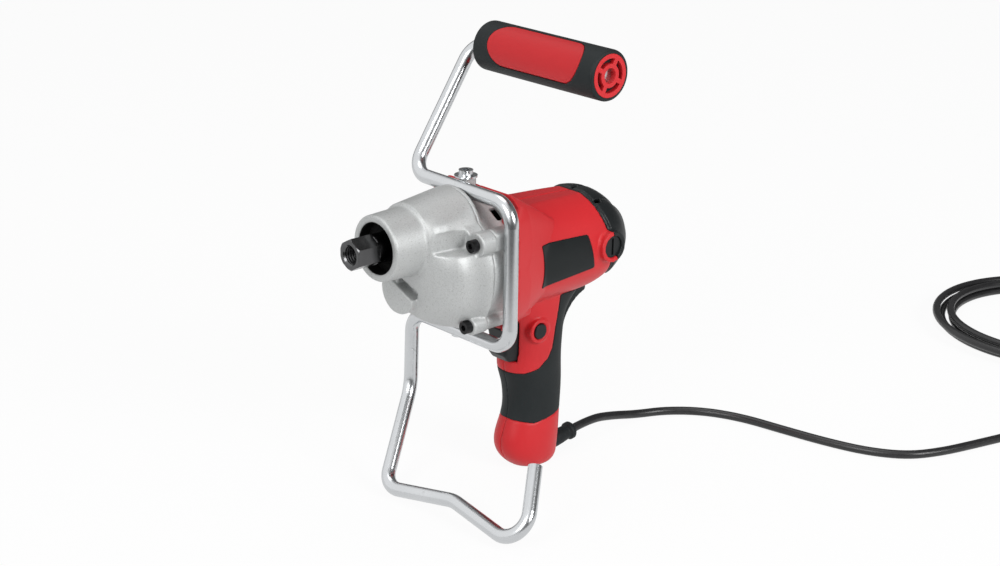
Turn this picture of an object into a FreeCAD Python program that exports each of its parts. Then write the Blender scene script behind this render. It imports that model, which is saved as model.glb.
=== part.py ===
import FreeCAD, Part
import math
import os

Vector = FreeCAD.Vector

# Corded mixing drill: spindle axis along Y, nose towards -Y, up +Z, left side of the tool +X.
# The origin is the mouth of the threaded spindle, and all sizes are millimetres.

# Spindle and its thread
spindle_flats = 19.0
hex_length = 18.0
thread_radius = 6.0
thread_depth = 30.0
collar_radius = 10.0
front_journal_radius = 8.5
gear_seat_radius = 8.0
spindle_shank_radius = 7.0
rear_journal_radius = 4.0
key_width = 4.0
ring_width = 1.2

# Fits
running_fit = 0.03
seat_fit = 0.02
free_gap = 0.3
end_gap = 0.25

# Two-stage spur gear train between the motor and the spindle
motor_drop = 28.0
pressure_angle = 20.0
backlash = 0.16
fine_module = 1.0
motor_teeth = 9
layshaft_teeth = 35
coarse_module = 1.5
pinion_teeth = 9
output_teeth = 28
pinion_shift = 0.47
tip_relief = 0.15
output_gear_width = 12.0
layshaft_gear_width = 9.5
pinion_overhang = 1.0

# Bearings: bore radius, outer radius and width of each size used
front_bearing_outer = 17.5
front_bearing_width = 10.0
small_bearing_outer = 11.0
small_bearing_width = 7.0
motor_bearing_bore = 5.0
motor_bearing_width = 6.0
bush_outer = 6.0
bush_width = 6.0
lay_bearing_outer = 8.0
lay_bearing_width = 5.0
seal_width = 5.0

# Cast gear housing
snout_front = 21.0
snout_radius = 22.4
snout_rear = 47.0
recess_depth = 9.0
shoulder_width = 3.0
casting_wall = 2.4
casting_flange = 86.0
casting_half_width = 45.0
crown_front_radius = 23.0
crown_rear_radius = 30.0
crown_plate = 3.0
chin_radius = 16.3
chin_x = -7.0
chin_z = -36.5
chin_front = 45.0
chin_edge_x = -11.6
chin_edge_z = -31.0
chin_edge_fall = 0.45
lay_boss_radius = 9.5
upper_lug_radius = 8.0
lower_lug_radius = 6.2
pocket_floor = 28.5
pocket_headroom = 9.5

# Screws that hold the two castings and the motor housing together
case_screw_radius = 2.5
case_head_radius = 4.25
case_head_height = 5.0
case_screw_seat = 74.0
case_screw_end = 118.0
case_column_radius = 5.4
upper_screw_x = 39.0
upper_screw_z = 1.0
lower_screw_x = 33.0
lower_screw_z = -57.5
screw_clearance = 0.25

# Middle housing casting
middle_radius = 45.0
middle_z = -24.0
middle_wall = 4.0
bearing_wall = 11.0
middle_rear = 111.0
seat_floor = 2.0
vent_width = 11.0
vent_length = 7.6
vent_turn = 34.0

# Bent steel rod: top handle, loop round the middle housing, leg and foot
rod_radius = 5.0
rod_y = 95.1
loop_half_width = 50.4
loop_top = 26.7
loop_bottom = -74.8
handle_y = 151.1
handle_z = 110.3
rod_end_x = 77.0
floor_z = -191.0
rod_bend = 15.0
foot_bend = 24.0
clamp_screw_radius = 3.0
clamp_wall = 1.6
clamp_x = -6.5
low_clamp_x = -12.5
clamp_half_width = 8.0
clamp_head_radius = 5.0
clamp_head_height = 3.6
washer_radius = 8.0
washer_thickness = 1.2
clamp_screw_length = 16.0

# Red plastic motor housing, in two halves that meet on the plane X = 0
housing_wall = 2.8
flange_half_width = 46.0
flange_top = 26.5
flange_bottom = -72.0
cowl_crown = 29.0
cowl_end = 155.0
cowl_end_half_width = 31.0
cowl_fall = 0.61
flange_plate = 2.5
barrel_start = 146.0
barrel_end = 200.0
barrel_radius = 36.0
body_top = 12.0
body_bottom = -67.0
facet_height = 8.6
facet_fall = 0.0444
joint_y = 205.3
joint_lean = 0.235
keel_back = 213.6
keel_low = -70.3
keel_half_width = 10.0
rubber_thickness = 1.6
boss_radius = 5.0
housing_screw_radius = 1.5
housing_head_radius = 3.2
housing_head_height = 2.4
housing_screw_depth = 14.0
housing_screw_reach = 10.0
rib_width = 4.0

# Motor
armature_radius = 21.5
air_gap = 0.6
field_radius = 31.0
field_flat = 27.6
core_start = 138.0
core_length = 44.0
shaft_radius = 5.0
shaft_tail_radius = 4.0
winding_head = 9.5
winding_radius = 19.5
armature_slots = 12
commutator_radius = 13.0
commutator_start = 196.0
commutator_length = 16.0
fan_radius = 30.0
fan_start = 113.0
fan_width = 12.0
fan_blades = 11
coil_end = 5.0
rear_bearing_start = 216.0

# Carbon brushes
brush_y = 203.0
brush_width = 7.0
brush_height = 10.0
brush_length = 13.5
holder_radius = 7.2
brush_boss_radius = 11.2
brush_boss_face = 40.0
cap_radius = 7.9
cap_thickness = 2.2
cap_recess = 1.6
cap_slot = 2.0

# Rear cover
cover_wall = 2.6
cover_end = 239.0
petal_count = 10
petal_height = 1.3
petal_setback = 2.5
petal_end = 226.0
petal_gap = 3.2
vent_slot = 7.0
cover_screw_circle = 27.0
cover_screw_seat = 212.0

# Trigger, lock button and switch
trigger_half_width = 9.5
trigger_front = 128.0
trigger_rear = 146.0
trigger_top = -77.0
trigger_bottom = -106.0
trigger_travel = 6.0
button_radius = 5.5
button_y = 152.0
button_z = -84.0
button_face = 21.4
button_collar_radius = 9.0
button_collar_face = 20.8
button_travel = 3.0
button_seat = 16.4
button_lip = 0.8
switch_half_width = 10.0
switch_length = 27.0
switch_height = 32.0

# Side grip on the top of the rod
grip_start = -34.0
grip_end = 81.0
grip_radius = 17.2
grip_core_radius = 14.5
grip_window_length = 88.0
grip_window_height = 28.5
grip_window_tilt = 30.0
grip_end_round = 2.0
panel_inset = 0.3
end_slot_inner = 8.0
end_slot_outer = 11.4
end_slot_turn = 29.0

# Cord, its strain relief, coil and plug
cord_radius = 3.15
guard_radius = 5.2
guard_length = 34.0
guard_tilt = 8.0
guard_y = 172.0
guard_z = -185.3
guard_ring_radius = 6.4
guard_setback = 11.0
lead_length = 14.0
clamp_reach = 11.0
clamp_bar_width = 7.0
clamp_bar_height = 3.6
clamp_screw_x = 7.8
cord_screw_radius = 1.3
coil_x = 102.0
coil_y = 690.0
coil_radius = 103.0
coil_turns = 2
coil_pitch = 9.0
coil_layer = 7.0
tail_spread = 26.0
plug_length = 42.0
plug_half_width = 18.5
plug_half_height = 8.0
pin_radius = 2.4
pin_spacing = 19.0
pin_length = 19.0

# Places worked out from the sizes above
stage_one = fine_module * (motor_teeth + layshaft_teeth) / 2
stage_two = coarse_module * (pinion_teeth + output_teeth) / 2
motor_z = -motor_drop
lay_down = (stage_two**2 - stage_one**2 + motor_drop**2) / (2 * motor_drop)
lay_x = -math.sqrt(stage_two**2 - lay_down**2)
lay_z = -lay_down
seal_start = snout_front + recess_depth
front_bearing_start = seal_start + seal_width
cavity_start = front_bearing_start + front_bearing_width + shoulder_width
output_gear_start = cavity_start + 3.0
output_gear_end = output_gear_start + output_gear_width
lay_gear_start = output_gear_end + pinion_overhang + 2.5
lay_gear_end = lay_gear_start + layshaft_gear_width
rear_seat_start = casting_flange + 2.0
wall_end = casting_flange + bearing_wall
bush_start = cavity_start + 1.0 - bush_width
clamp_y = rod_y + rod_radius + 0.5 + clamp_wall + clamp_screw_radius
core_end = core_start + core_length
field_bore = armature_radius + air_gap
case_screw_places = [
    (upper_screw_x, upper_screw_z),
    (-upper_screw_x, upper_screw_z),
    (lower_screw_x, lower_screw_z),
    (-lower_screw_x, lower_screw_z),
]
grip_screw_place = (149.5, -121)
housing_screw_places = [
    (119, 14.5), (119, -62.5), (192.5, motor_z + 26.5), (192.5, motor_z - 26.5),
    grip_screw_place, (147, -174),
]
cap_face = brush_boss_face - cap_recess
cap_seat = cap_face - cap_thickness
clamp_seat_z = guard_z + cord_radius + 0.3


def rod_along_y(radius, y0, y1, x=0.0, z=0.0):
    return Part.makeCylinder(radius, y1 - y0, Vector(x, y0, z), Vector(0, 1, 0))


def rod_along_x(radius, x0, x1, y, z):
    return Part.makeCylinder(radius, x1 - x0, Vector(x0, y, z), Vector(1, 0, 0))


def rod_along_z(radius, z0, z1, x, y):
    return Part.makeCylinder(radius, z1 - z0, Vector(x, y, z0), Vector(0, 0, 1))


def tube_along_y(outer, inner, y0, y1, x=0.0, z=0.0):
    return rod_along_y(outer, y0, y1, x, z).cut(rod_along_y(inner, y0 - 1, y1 + 1, x, z))


def block(x0, x1, y0, y1, z0, z1):
    return Part.makeBox(x1 - x0, y1 - y0, z1 - z0, Vector(x0, y0, z0))


def prism_x(points, x0, x1):
    corners = [Vector(x0, y, z) for y, z in points]
    face = Part.Face(Part.makePolygon(corners + corners[:1]))
    return face.extrude(Vector(x1 - x0, 0, 0))


def prism_y(points, y0, y1):
    corners = [Vector(x, y0, z) for x, z in points]
    face = Part.Face(Part.makePolygon(corners + corners[:1]))
    return face.extrude(Vector(0, y1 - y0, 0))


def turned(profile, x=0.0, z=0.0):
    # Solid of revolution about an axis along Y; the profile is (y, radius) pairs.
    corners = [Vector(x + r, y, z) for y, r in profile]
    face = Part.Face(Part.makePolygon(corners + corners[:1]))
    return face.revolve(Vector(x, 0, z), Vector(0, 1, 0), 360)


def joined(shapes):
    return shapes[0].multiFuse(shapes[1:]).removeSplitter()


def power_of(value, power):
    return math.copysign(abs(value) ** (2.0 / power), value)


def closed_curve(points):
    curve = Part.BSplineCurve()
    curve.interpolate(Points=points, PeriodicFlag=True)
    return Part.Wire([curve.toShape()])


def upright_oval(y, half_width, top, bottom, power):
    # A squared oval in a plane across the motor axis.
    middle = (top + bottom) / 2
    half_height = (top - bottom) / 2
    points = []
    for k in range(16):
        a = 2 * math.pi * k / 16
        x = half_width * power_of(math.cos(a), power)
        z = middle + half_height * power_of(math.sin(a), power)
        points.append(Vector(x, y, z))
    return closed_curve(points)


def level_oval(z, front, back, half_width, power):
    # A squared oval in a level plane across the pistol grip.
    middle = (front + back) / 2
    half_depth = (back - front) / 2
    points = []
    for k in range(16):
        a = 2 * math.pi * k / 16
        x = half_width * power_of(math.cos(a), power)
        y = middle + half_depth * power_of(math.sin(a), power)
        points.append(Vector(x, y, z))
    return closed_curve(points)


def save(shape, name):
    shape.exportStep("parts/" + name + ".step")
    print(name, "solids", len(shape.Solids), "volume", round(shape.Volume), shape.isValid())


# Involute spur gears


def involute_point(base_radius, radius, half_angle_at_base, sign, turn):
    roll = math.sqrt(max((radius / base_radius) ** 2 - 1, 0.0))
    unwound = roll - math.atan(roll)
    a = turn + sign * (half_angle_at_base - unwound)
    return Vector(radius * math.sin(a), 0, radius * math.cos(a))


def gear_blank(teeth, module, shift, width, y0, turn):
    # Spur gear with arc flanks through three involute points; a tooth points along turn from +Z.
    alpha = math.radians(pressure_angle)
    pitch = module * teeth / 2
    base = pitch * math.cos(alpha)
    tip = pitch + module * (1 + shift - tip_relief)
    root = pitch - module * (1.25 - shift)
    thickness = module * (math.pi / 2 + 2 * shift * math.tan(alpha)) - backlash
    half_base = thickness / (2 * pitch) + math.tan(alpha) - alpha
    start = max(base, root) * 1.002
    edges = []
    step = 2 * math.pi / teeth
    for k in range(teeth):
        a = turn + k * step
        left = [involute_point(base, r, half_base, -1, a) for r in (start, (start + tip) / 2, tip)]
        right = [involute_point(base, r, half_base, 1, a) for r in (tip, (start + tip) / 2, start)]
        next_left = involute_point(base, start, half_base, -1, a + step)
        foot_out = Vector(root * math.sin(a + half_base), 0, root * math.cos(a + half_base))
        gap = a + step / 2
        foot_mid = Vector(root * math.sin(gap), 0, root * math.cos(gap))
        foot_in = Vector(root * math.sin(a + step - half_base), 0, root * math.cos(a + step - half_base))
        crown = Vector(tip * math.sin(a), 0, tip * math.cos(a))
        edges.append(Part.Arc(left[0], left[1], left[2]).toShape())
        edges.append(Part.Arc(left[2], crown, right[0]).toShape())
        edges.append(Part.Arc(right[0], right[1], right[2]).toShape())
        edges.append(Part.LineSegment(right[2], foot_out).toShape())
        edges.append(Part.Arc(foot_out, foot_mid, foot_in).toShape())
        edges.append(Part.LineSegment(foot_in, next_left).toShape())
    face = Part.Face(Part.Wire(edges))
    gear = face.extrude(Vector(0, width, 0))
    gear.translate(Vector(0, y0, 0))
    return gear


def bearing(bore, outer, width, y0, x=0.0, z=0.0):
    # Ball bearing with its shields set back from the ring faces.
    dish = 0.6
    ring = (outer - bore) * 0.28
    profile = [
        (y0, bore),
        (y0, bore + ring),
        (y0 + dish, bore + ring),
        (y0 + dish, outer - ring),
        (y0, outer - ring),
        (y0, outer),
        (y0 + width, outer),
        (y0 + width, outer - ring),
        (y0 + width - dish, outer - ring),
        (y0 + width - dish, bore + ring),
        (y0 + width, bore + ring),
        (y0 + width, bore),
    ]
    return turned(profile, x, z)


# Angles of the mesh lines, measured from +Z towards +X
to_layshaft = math.atan2(lay_x, lay_z)
lay_to_spindle = to_layshaft + math.pi
lay_to_motor = math.atan2(-lay_x, motor_z - lay_z)
motor_to_lay = lay_to_motor + math.pi


def spindle():
    corner = spindle_flats / 2 / math.cos(math.pi / 6)
    turns = [math.pi / 3 * (k + 0.5) for k in range(6)]
    points = [(corner * math.cos(t), corner * math.sin(t)) for t in turns]
    hexagon = prism_y(points, 0, hex_length)
    rounded = turned([(0, 0), (0, corner - 1.2), (1.2, corner), (hex_length, corner), (hex_length, 0)])
    rear_end = rear_seat_start + small_bearing_width + 0.3
    body = turned([
        (hex_length - 0.5, 0),
        (hex_length - 0.5, collar_radius),
        (front_bearing_start - end_gap, collar_radius),
        (front_bearing_start - end_gap, front_journal_radius),
        (front_bearing_start + front_bearing_width + end_gap, front_journal_radius),
        (front_bearing_start + front_bearing_width + end_gap, gear_seat_radius),
        (output_gear_end + ring_width + 0.1, gear_seat_radius),
        (output_gear_end + ring_width + 0.1, spindle_shank_radius),
        (rear_seat_start - end_gap, spindle_shank_radius),
        (rear_seat_start - end_gap, rear_journal_radius),
        (rear_end, rear_journal_radius),
        (rear_end, 0),
    ])
    groove = tube_along_y(gear_seat_radius + 1, spindle_shank_radius, output_gear_end + 0.05,
                          output_gear_end + 0.05 + ring_width)
    keyway = block(-key_width / 2, key_width / 2, output_gear_start, output_gear_end,
                   gear_seat_radius - key_width / 2, gear_seat_radius + 1)
    shape = joined([hexagon.common(rounded), body])
    return shape.cut(rod_along_y(thread_radius, -1, thread_depth)).cut(groove).cut(keyway)


def output_gear():
    blank = gear_blank(output_teeth, coarse_module, -pinion_shift, output_gear_width,
                       output_gear_start, to_layshaft)
    keyway = block(-key_width / 2, key_width / 2, output_gear_start - 1, output_gear_end + 1,
                   0, gear_seat_radius + key_width / 2)
    bore = rod_along_y(gear_seat_radius + seat_fit, output_gear_start - 1, output_gear_end + 1)
    return blank.cut(bore).cut(keyway)


def spindle_key():
    return block(-key_width / 2 + seat_fit, key_width / 2 - seat_fit,
                 output_gear_start + seat_fit, output_gear_end - seat_fit,
                 gear_seat_radius - key_width / 2, gear_seat_radius + key_width / 2 - seat_fit)


def gear_ring():
    y0 = output_gear_end + 0.05
    ring = tube_along_y(gear_seat_radius + 2, spindle_shank_radius + seat_fit, y0, y0 + ring_width - 0.1)
    opening = block(-2, 2, y0 - 1, y0 + 2, -gear_seat_radius - 3, 0)
    return ring.cut(opening)


def layshaft():
    y0 = output_gear_start - pinion_overhang
    y1 = output_gear_end + pinion_overhang
    turn = lay_to_spindle + math.pi / pinion_teeth
    pinion = gear_blank(pinion_teeth, coarse_module, pinion_shift, y1 - y0, y0, turn)
    pinion.translate(Vector(lay_x, 0, lay_z))
    rear = rear_seat_start + lay_bearing_width + 0.3
    shaft = turned([
        (bush_start + end_gap, 0),
        (bush_start + end_gap, rear_journal_radius),
        (y1, rear_journal_radius),
        (y1, 6.5),
        (lay_gear_start, 6.5),
        (lay_gear_start, motor_bearing_bore),
        (rear_seat_start - end_gap, motor_bearing_bore),
        (rear_seat_start - end_gap, rear_journal_radius),
        (rear, rear_journal_radius),
        (rear, 0),
    ], lay_x, lay_z)
    return joined([shaft, pinion])


def layshaft_gear():
    gear = gear_blank(layshaft_teeth, fine_module, -pinion_shift, layshaft_gear_width,
                      lay_gear_start, lay_to_motor)
    gear.translate(Vector(lay_x, 0, lay_z))
    gear = gear.cut(rod_along_y(motor_bearing_bore + seat_fit, lay_gear_start - 1, lay_gear_end + 1,
                                lay_x, lay_z))
    web = tube_along_y(14.0, 8.0, lay_gear_start + 6.5, lay_gear_end + 1, lay_x, lay_z)
    return gear.cut(web)


# Castings


def casting_skin():
    # Outer form of the gear housing behind the snout: a round crown about the spindle over a wide body.
    wide = casting_half_width
    stations = [
        upright_oval(snout_rear - 1, wide - 23, 8.0, -26.0, 2.25),
        upright_oval(51.3, wide - 11.5, 12.0, -46.0, 2.25),
        upright_oval(58.7, wide - 3.5, 15.0, -57.0, 2.25),
        upright_oval(70.4, wide - 1, 17.5, -63.5, 2.25),
        upright_oval(casting_flange, wide, 19.5, -69.5, 2.25),
    ]
    crown = turned([
        (snout_rear - 1, 0),
        (snout_rear - 1, crown_front_radius),
        (snout_rear + 0.2, crown_front_radius + 2.6),
        (snout_rear + 2.5, crown_front_radius + 4.6),
        (snout_rear + 6.5, crown_rear_radius - 1.0),
        (snout_rear + 13, crown_rear_radius - 0.3),
        (casting_flange, crown_rear_radius),
        (casting_flange, 0),
    ])
    return Part.makeLoft(stations, True).fuse(crown)


def gear_housing():
    skin = casting_skin()
    snout = turned([
        (snout_front, 0),
        (snout_front, snout_radius - 0.8),
        (snout_front + 0.8, snout_radius),
        (snout_rear + 6, snout_radius + 1.2),
        (snout_rear + 6, 0),
    ])
    chin = rod_along_y(chin_radius, chin_front, casting_flange - 24, chin_x, chin_z)
    reach = 60.0
    chin = chin.cut(prism_y([
        (chin_edge_x - reach, chin_edge_z + reach * chin_edge_fall),
        (chin_edge_x + reach, chin_edge_z - reach * chin_edge_fall),
        (chin_edge_x + reach, reach),
        (chin_edge_x - reach, reach),
    ], chin_front - 1, snout_rear + 6))
    lay_boss = rod_along_y(lay_boss_radius, bush_start - 2, casting_flange - 26, lay_x, lay_z)
    columns = []
    pockets = []
    head_room = case_head_radius + 0.8
    for x, z in case_screw_places:
        lug_radius = upper_lug_radius if z > motor_z else lower_lug_radius
        columns.append(rod_along_y(lug_radius, case_screw_seat, casting_flange, x, z))
        pockets.append(rod_along_y(head_room, snout_rear - 4, case_screw_seat, x, z))
        pockets.append(rod_along_y(case_screw_radius + screw_clearance, case_screw_seat - 1,
                                   casting_flange + 1, x, z))
    corner = pocket_floor + head_room
    pockets.append(rod_along_y(head_room, snout_rear - 4, case_screw_seat, corner, upper_screw_z))
    pockets.append(block(corner, 60, snout_rear - 4, case_screw_seat,
                         upper_screw_z - head_room, upper_screw_z))
    pockets.append(block(pocket_floor, 60, snout_rear - 4, case_screw_seat,
                         upper_screw_z, upper_screw_z + pocket_headroom))
    shape = skin
    for piece in [snout, chin, lay_boss] + columns:
        shape = shape.fuse(piece)
    gear_tip = coarse_module * (output_teeth / 2 + 1 - pinion_shift)
    lay_tip = fine_module * (layshaft_teeth / 2 + 1 - pinion_shift)
    pinion_tip = coarse_module * (pinion_teeth / 2 + 1 + pinion_shift)
    hollow = [
        rod_along_y(front_bearing_outer + seat_fit, snout_front - 1,
                    front_bearing_start + front_bearing_width),
        rod_along_y(front_journal_radius + 4.5, snout_front, cavity_start + 1),
        rod_along_y(gear_tip + 1.0, cavity_start, casting_flange + 1),
        rod_along_y(lay_tip + 1.2, lay_gear_start - 2, casting_flange + 1, lay_x, lay_z),
        rod_along_y(pinion_tip + 1.0, cavity_start, casting_flange + 1, lay_x, lay_z),
        rod_along_y(bush_outer + seat_fit, bush_start, cavity_start + 2, lay_x, lay_z),
        rod_along_y(12.0, lay_gear_start - 2, casting_flange + 1, 0, motor_z),
    ]
    return shape.cut(tuple(pockets + hollow))


def clamp_blocks():
    # Saddle and threaded boss for each rod clamp, above and below the middle housing.
    pad_top = loop_top - rod_radius
    boss_top = loop_top + rod_radius
    pad_low = loop_bottom + rod_radius
    boss_low = loop_bottom - rod_radius
    boss_half = clamp_screw_radius + clamp_wall
    top = [clamp_x - clamp_half_width, clamp_x + clamp_half_width]
    low = [low_clamp_x - clamp_half_width, low_clamp_x + clamp_half_width]
    return [
        block(top[0], top[1], rod_y - 6, middle_rear, pad_top - 12, pad_top - seat_fit),
        rod_along_z(boss_half, pad_top - 5, boss_top, clamp_x, clamp_y),
        block(clamp_x - boss_half, clamp_x + boss_half, clamp_y, middle_rear, pad_top - 5, boss_top),
        block(low[0], low[1], rod_y - 6, middle_rear, pad_low + seat_fit, pad_low + 12),
        rod_along_z(boss_half, boss_low, pad_low + 5, low_clamp_x, clamp_y),
        block(low_clamp_x - boss_half, low_clamp_x + boss_half, clamp_y, middle_rear, boss_low, pad_low + 5),
    ]


def middle_housing():
    drum = rod_along_y(middle_radius, casting_flange, middle_rear, 0, middle_z)
    crown = rod_along_y(crown_rear_radius, casting_flange, casting_flange + crown_plate)
    columns = []
    holes = []
    rod_side = loop_half_width - rod_radius - 0.2
    for x, z in case_screw_places:
        lug_radius = upper_lug_radius if z > motor_z else case_column_radius
        column = rod_along_y(lug_radius, casting_flange, middle_rear, x, z)
        columns.append(column.common(block(-rod_side, rod_side, casting_flange, middle_rear, -90, 40)))
        holes.append(rod_along_y(case_screw_radius + screw_clearance, casting_flange - 1,
                                 middle_rear + 1, x, z))
    inside = rod_along_y(middle_radius - middle_wall, wall_end, middle_rear + 1, 0, middle_z)
    shape = drum.cut(inside)
    shape = joined([shape, crown] + columns + clamp_blocks())
    seats = [
        rod_along_y(small_bearing_outer + seat_fit, casting_flange - 1,
                    rear_seat_start + small_bearing_width),
        rod_along_y(rear_journal_radius + 1, casting_flange, rear_seat_start + small_bearing_width + 1),
        rod_along_y(lay_bearing_outer + seat_fit, casting_flange - 1, rear_seat_start + lay_bearing_width,
                    lay_x, lay_z),
        rod_along_y(rear_journal_radius + 1, casting_flange, rear_seat_start + lay_bearing_width + 1,
                    lay_x, lay_z),
        rod_along_y(small_bearing_outer - 2, casting_flange - 1, wall_end + 1, 0, motor_z),
        rod_along_y(small_bearing_outer + seat_fit, rear_seat_start + 1, wall_end + 1, 0, motor_z),
    ]
    tall = middle_radius + 20
    vents = []
    vent_start = middle_rear - 1.8 - vent_length
    for turn in (90 - vent_turn, 90 + vent_turn, 270 - vent_turn, 270 + vent_turn):
        slot = block(middle_radius - middle_wall - 4, tall, vent_start, vent_start + vent_length,
                     -vent_width / 2, vent_width / 2)
        slot.rotate(Vector(0, 0, 0), Vector(0, 1, 0), turn)
        slot.translate(Vector(0, 0, middle_z))
        vents.append(slot)
    thread = clamp_screw_radius + 0.05
    top_hole = rod_along_z(thread, loop_top - 12, loop_top + 10, clamp_x, clamp_y)
    low_hole = rod_along_z(thread, loop_bottom - 10, loop_bottom + 12, low_clamp_x, clamp_y)
    return shape.cut(tuple(holes + seats + vents + [top_hole, low_hole]))


def gearcase_screws():
    screws = []
    for x, z in case_screw_places:
        head = rod_along_y(case_head_radius, case_screw_seat - case_head_height, case_screw_seat, x, z)
        shank = rod_along_y(case_screw_radius, case_screw_seat, case_screw_end, x, z)
        socket_points = [(x + 2.3 * math.cos(math.pi / 3 * k), z + 2.3 * math.sin(math.pi / 3 * k))
                         for k in range(6)]
        socket = prism_y(socket_points, case_screw_seat - case_head_height - 1,
                         case_screw_seat - case_head_height + 2.6)
        screws.append(joined([head, shank]).cut(socket))
    return Part.makeCompound(screws)


# Bent rod


def rounded_path(points, radii):
    # Straight runs joined by tangent arcs.
    edges = []
    start = points[0]
    for k in range(1, len(points) - 1):
        before = (points[k - 1] - points[k]).normalize()
        after = (points[k + 1] - points[k]).normalize()
        half = before.getAngle(after) / 2
        reach = radii[k - 1] / math.tan(half)
        enter = points[k] + before * reach
        leave = points[k] + after * reach
        inward = (before + after).normalize()
        middle = points[k] + inward * (radii[k - 1] / math.sin(half) - radii[k - 1])
        if (enter - start).Length > 1e-6:
            edges.append(Part.LineSegment(start, enter).toShape())
        edges.append(Part.Arc(enter, middle, leave).toShape())
        start = leave
    edges.append(Part.LineSegment(start, points[-1]).toShape())
    return Part.Wire(edges)


def swept_tube(path, radius):
    first = path.OrderedEdges[0]
    start = first.valueAt(first.FirstParameter)
    heading = first.tangentAt(first.FirstParameter)
    circle = Part.Wire([Part.Circle(start, heading, radius).toShape()])
    return path.makePipeShell([circle], True, False)


def handle_rod():
    foot = floor_z + rod_radius
    points = [
        Vector(rod_end_x, handle_y, handle_z),
        Vector(-loop_half_width, handle_y, handle_z),
        Vector(-loop_half_width, rod_y, loop_top),
        Vector(loop_half_width, rod_y, loop_top),
        Vector(loop_half_width, rod_y, loop_bottom),
        Vector(-loop_half_width, rod_y, loop_bottom),
        Vector(-51, 94, -132),
        Vector(-22, 46, foot),
        Vector(38, 57, foot + 8),
        Vector(115, 51, foot),
        Vector(87, 86, foot + 42),
    ]
    radii = [rod_bend] * 5 + [foot_bend, rod_bend, foot_bend, rod_bend]
    return swept_tube(rounded_path(points, radii), rod_radius)


def rod_clamp_washers():
    top = loop_top + rod_radius
    low = loop_bottom - rod_radius
    hole = clamp_screw_radius + 0.3
    rings = []
    for x, z0 in ((clamp_x, top), (low_clamp_x, low - washer_thickness)):
        disc = rod_along_z(washer_radius, z0, z0 + washer_thickness, x, clamp_y)
        rings.append(disc.cut(rod_along_z(hole, z0 - 1, z0 + washer_thickness + 1, x, clamp_y)))
    return Part.makeCompound(rings)


def rod_clamp_screws():
    top = loop_top + rod_radius + washer_thickness
    low = loop_bottom - rod_radius - washer_thickness
    shapes = []
    for x, seat, way in ((clamp_x, top, 1), (low_clamp_x, low, -1)):
        ends = sorted((seat, seat + way * clamp_head_height))
        head = rod_along_z(clamp_head_radius, ends[0], ends[1], x, clamp_y)
        ends = sorted((seat, seat - way * clamp_screw_length))
        shank = rod_along_z(clamp_screw_radius, ends[0], ends[1], x, clamp_y)
        top_face = seat + way * clamp_head_height
        ends = sorted((top_face + way, top_face - way * 2.4))
        turns = [math.pi / 3 * k for k in range(6)]
        corners = [Vector(x + 2.7 * math.cos(t), clamp_y + 2.7 * math.sin(t), ends[0]) for t in turns]
        socket = Part.Face(Part.makePolygon(corners + corners[:1])).extrude(Vector(0, 0, ends[1] - ends[0]))
        shapes.append(joined([head, shank]).cut(socket))
    return Part.makeCompound(shapes)


def window_prism(inset):
    # Long oval, through both sides of the sleeve, in which the core of the side grip shows.
    middle = (grip_start + grip_end) / 2
    half = grip_window_height / 2 - inset
    straight = grip_window_length / 2 - grip_window_height / 2
    depth = 2 * grip_radius + 10
    y0 = handle_y - depth / 2
    ends = [Part.makeCylinder(half, depth, Vector(middle + s * straight, y0, handle_z), Vector(0, 1, 0))
            for s in (-1, 1)]
    bar = block(middle - straight, middle + straight, y0, y0 + depth, handle_z - half, handle_z + half)
    prism = joined(ends + [bar])
    prism.rotate(Vector(0, handle_y, handle_z), Vector(1, 0, 0), -grip_window_tilt)
    return prism


def handle_core():
    # Plastic tube on the rod, with a raised oval on each side and a slotted end disc.
    y, z = handle_y, handle_z
    panel = rod_along_x(grip_radius - panel_inset, grip_start + 5, grip_end - 5, y, z)
    shape = joined([
        rod_along_x(grip_core_radius, grip_start, grip_end, y, z),
        window_prism(panel_inset).common(panel),
    ])
    shape = shape.cut(rod_along_x(rod_radius + seat_fit, grip_start - 1, grip_end + 1, y, z))
    ring = rod_along_x(end_slot_outer, grip_end - 6, grip_end + 1, y, z)
    ring = ring.cut(rod_along_x(end_slot_inner, grip_end - 7, grip_end + 2, y, z))
    bars = joined([
        block(grip_end - 8, grip_end + 2, y - 30, y + 30, z - 1.6, z + 1.6),
        block(grip_end - 8, grip_end + 2, y - 1.6, y + 1.6, z - 30, z + 30),
    ])
    bars.rotate(Vector(grip_end, y, z), Vector(1, 0, 0), -end_slot_turn)
    return shape.cut(ring.cut(bars))


def handle_rubber():
    y, z = handle_y, handle_z
    sleeve = rod_along_x(grip_radius, grip_start, grip_end, y, z)
    rims = [e for e in sleeve.Edges if len(e.Vertexes) == 1]
    sleeve = sleeve.makeFillet(grip_end_round, rims)
    sleeve = sleeve.cut(rod_along_x(grip_core_radius, grip_start - 1, grip_end + 1, y, z))
    return sleeve.cut(window_prism(0.0))


# Motor housing


def body_stations(inset):
    # Sections of the motor body: distance, half width, drop of the top, rise of the bottom, squareness.
    half = barrel_radius - inset
    top = body_top - inset
    low = body_bottom + inset
    rows = [
        (middle_rear, 0.0, 0.0, 0.0, 2.4),
        (128.5, 0.0, 0.5, 0.0, 2.35),
        (barrel_start, 0.0, 1.2, 0.0, 2.25),
        (164.0, 0.0, 2.2, 0.2, 2.15),
        (182.0, 0.1, 3.2, 0.6, 2.1),
        (198.0, 0.3, 4.4, 1.4, 2.05),
        (210.0, 1.4, 6.5, 4.5, 2.05),
        (220.0, 4.5, 12.0, 10.5, 2.05),
        (230.0, 11.5, 20.0, 18.0, 2.05),
        (cover_end - inset, 21.5, 25.8, 24.8, 2.05),
    ]
    ovals = []
    for y, side, drop, rise, power in rows:
        ovals.append(upright_oval(y, half - side, top - drop, low + rise, power))
    return ovals


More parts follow.
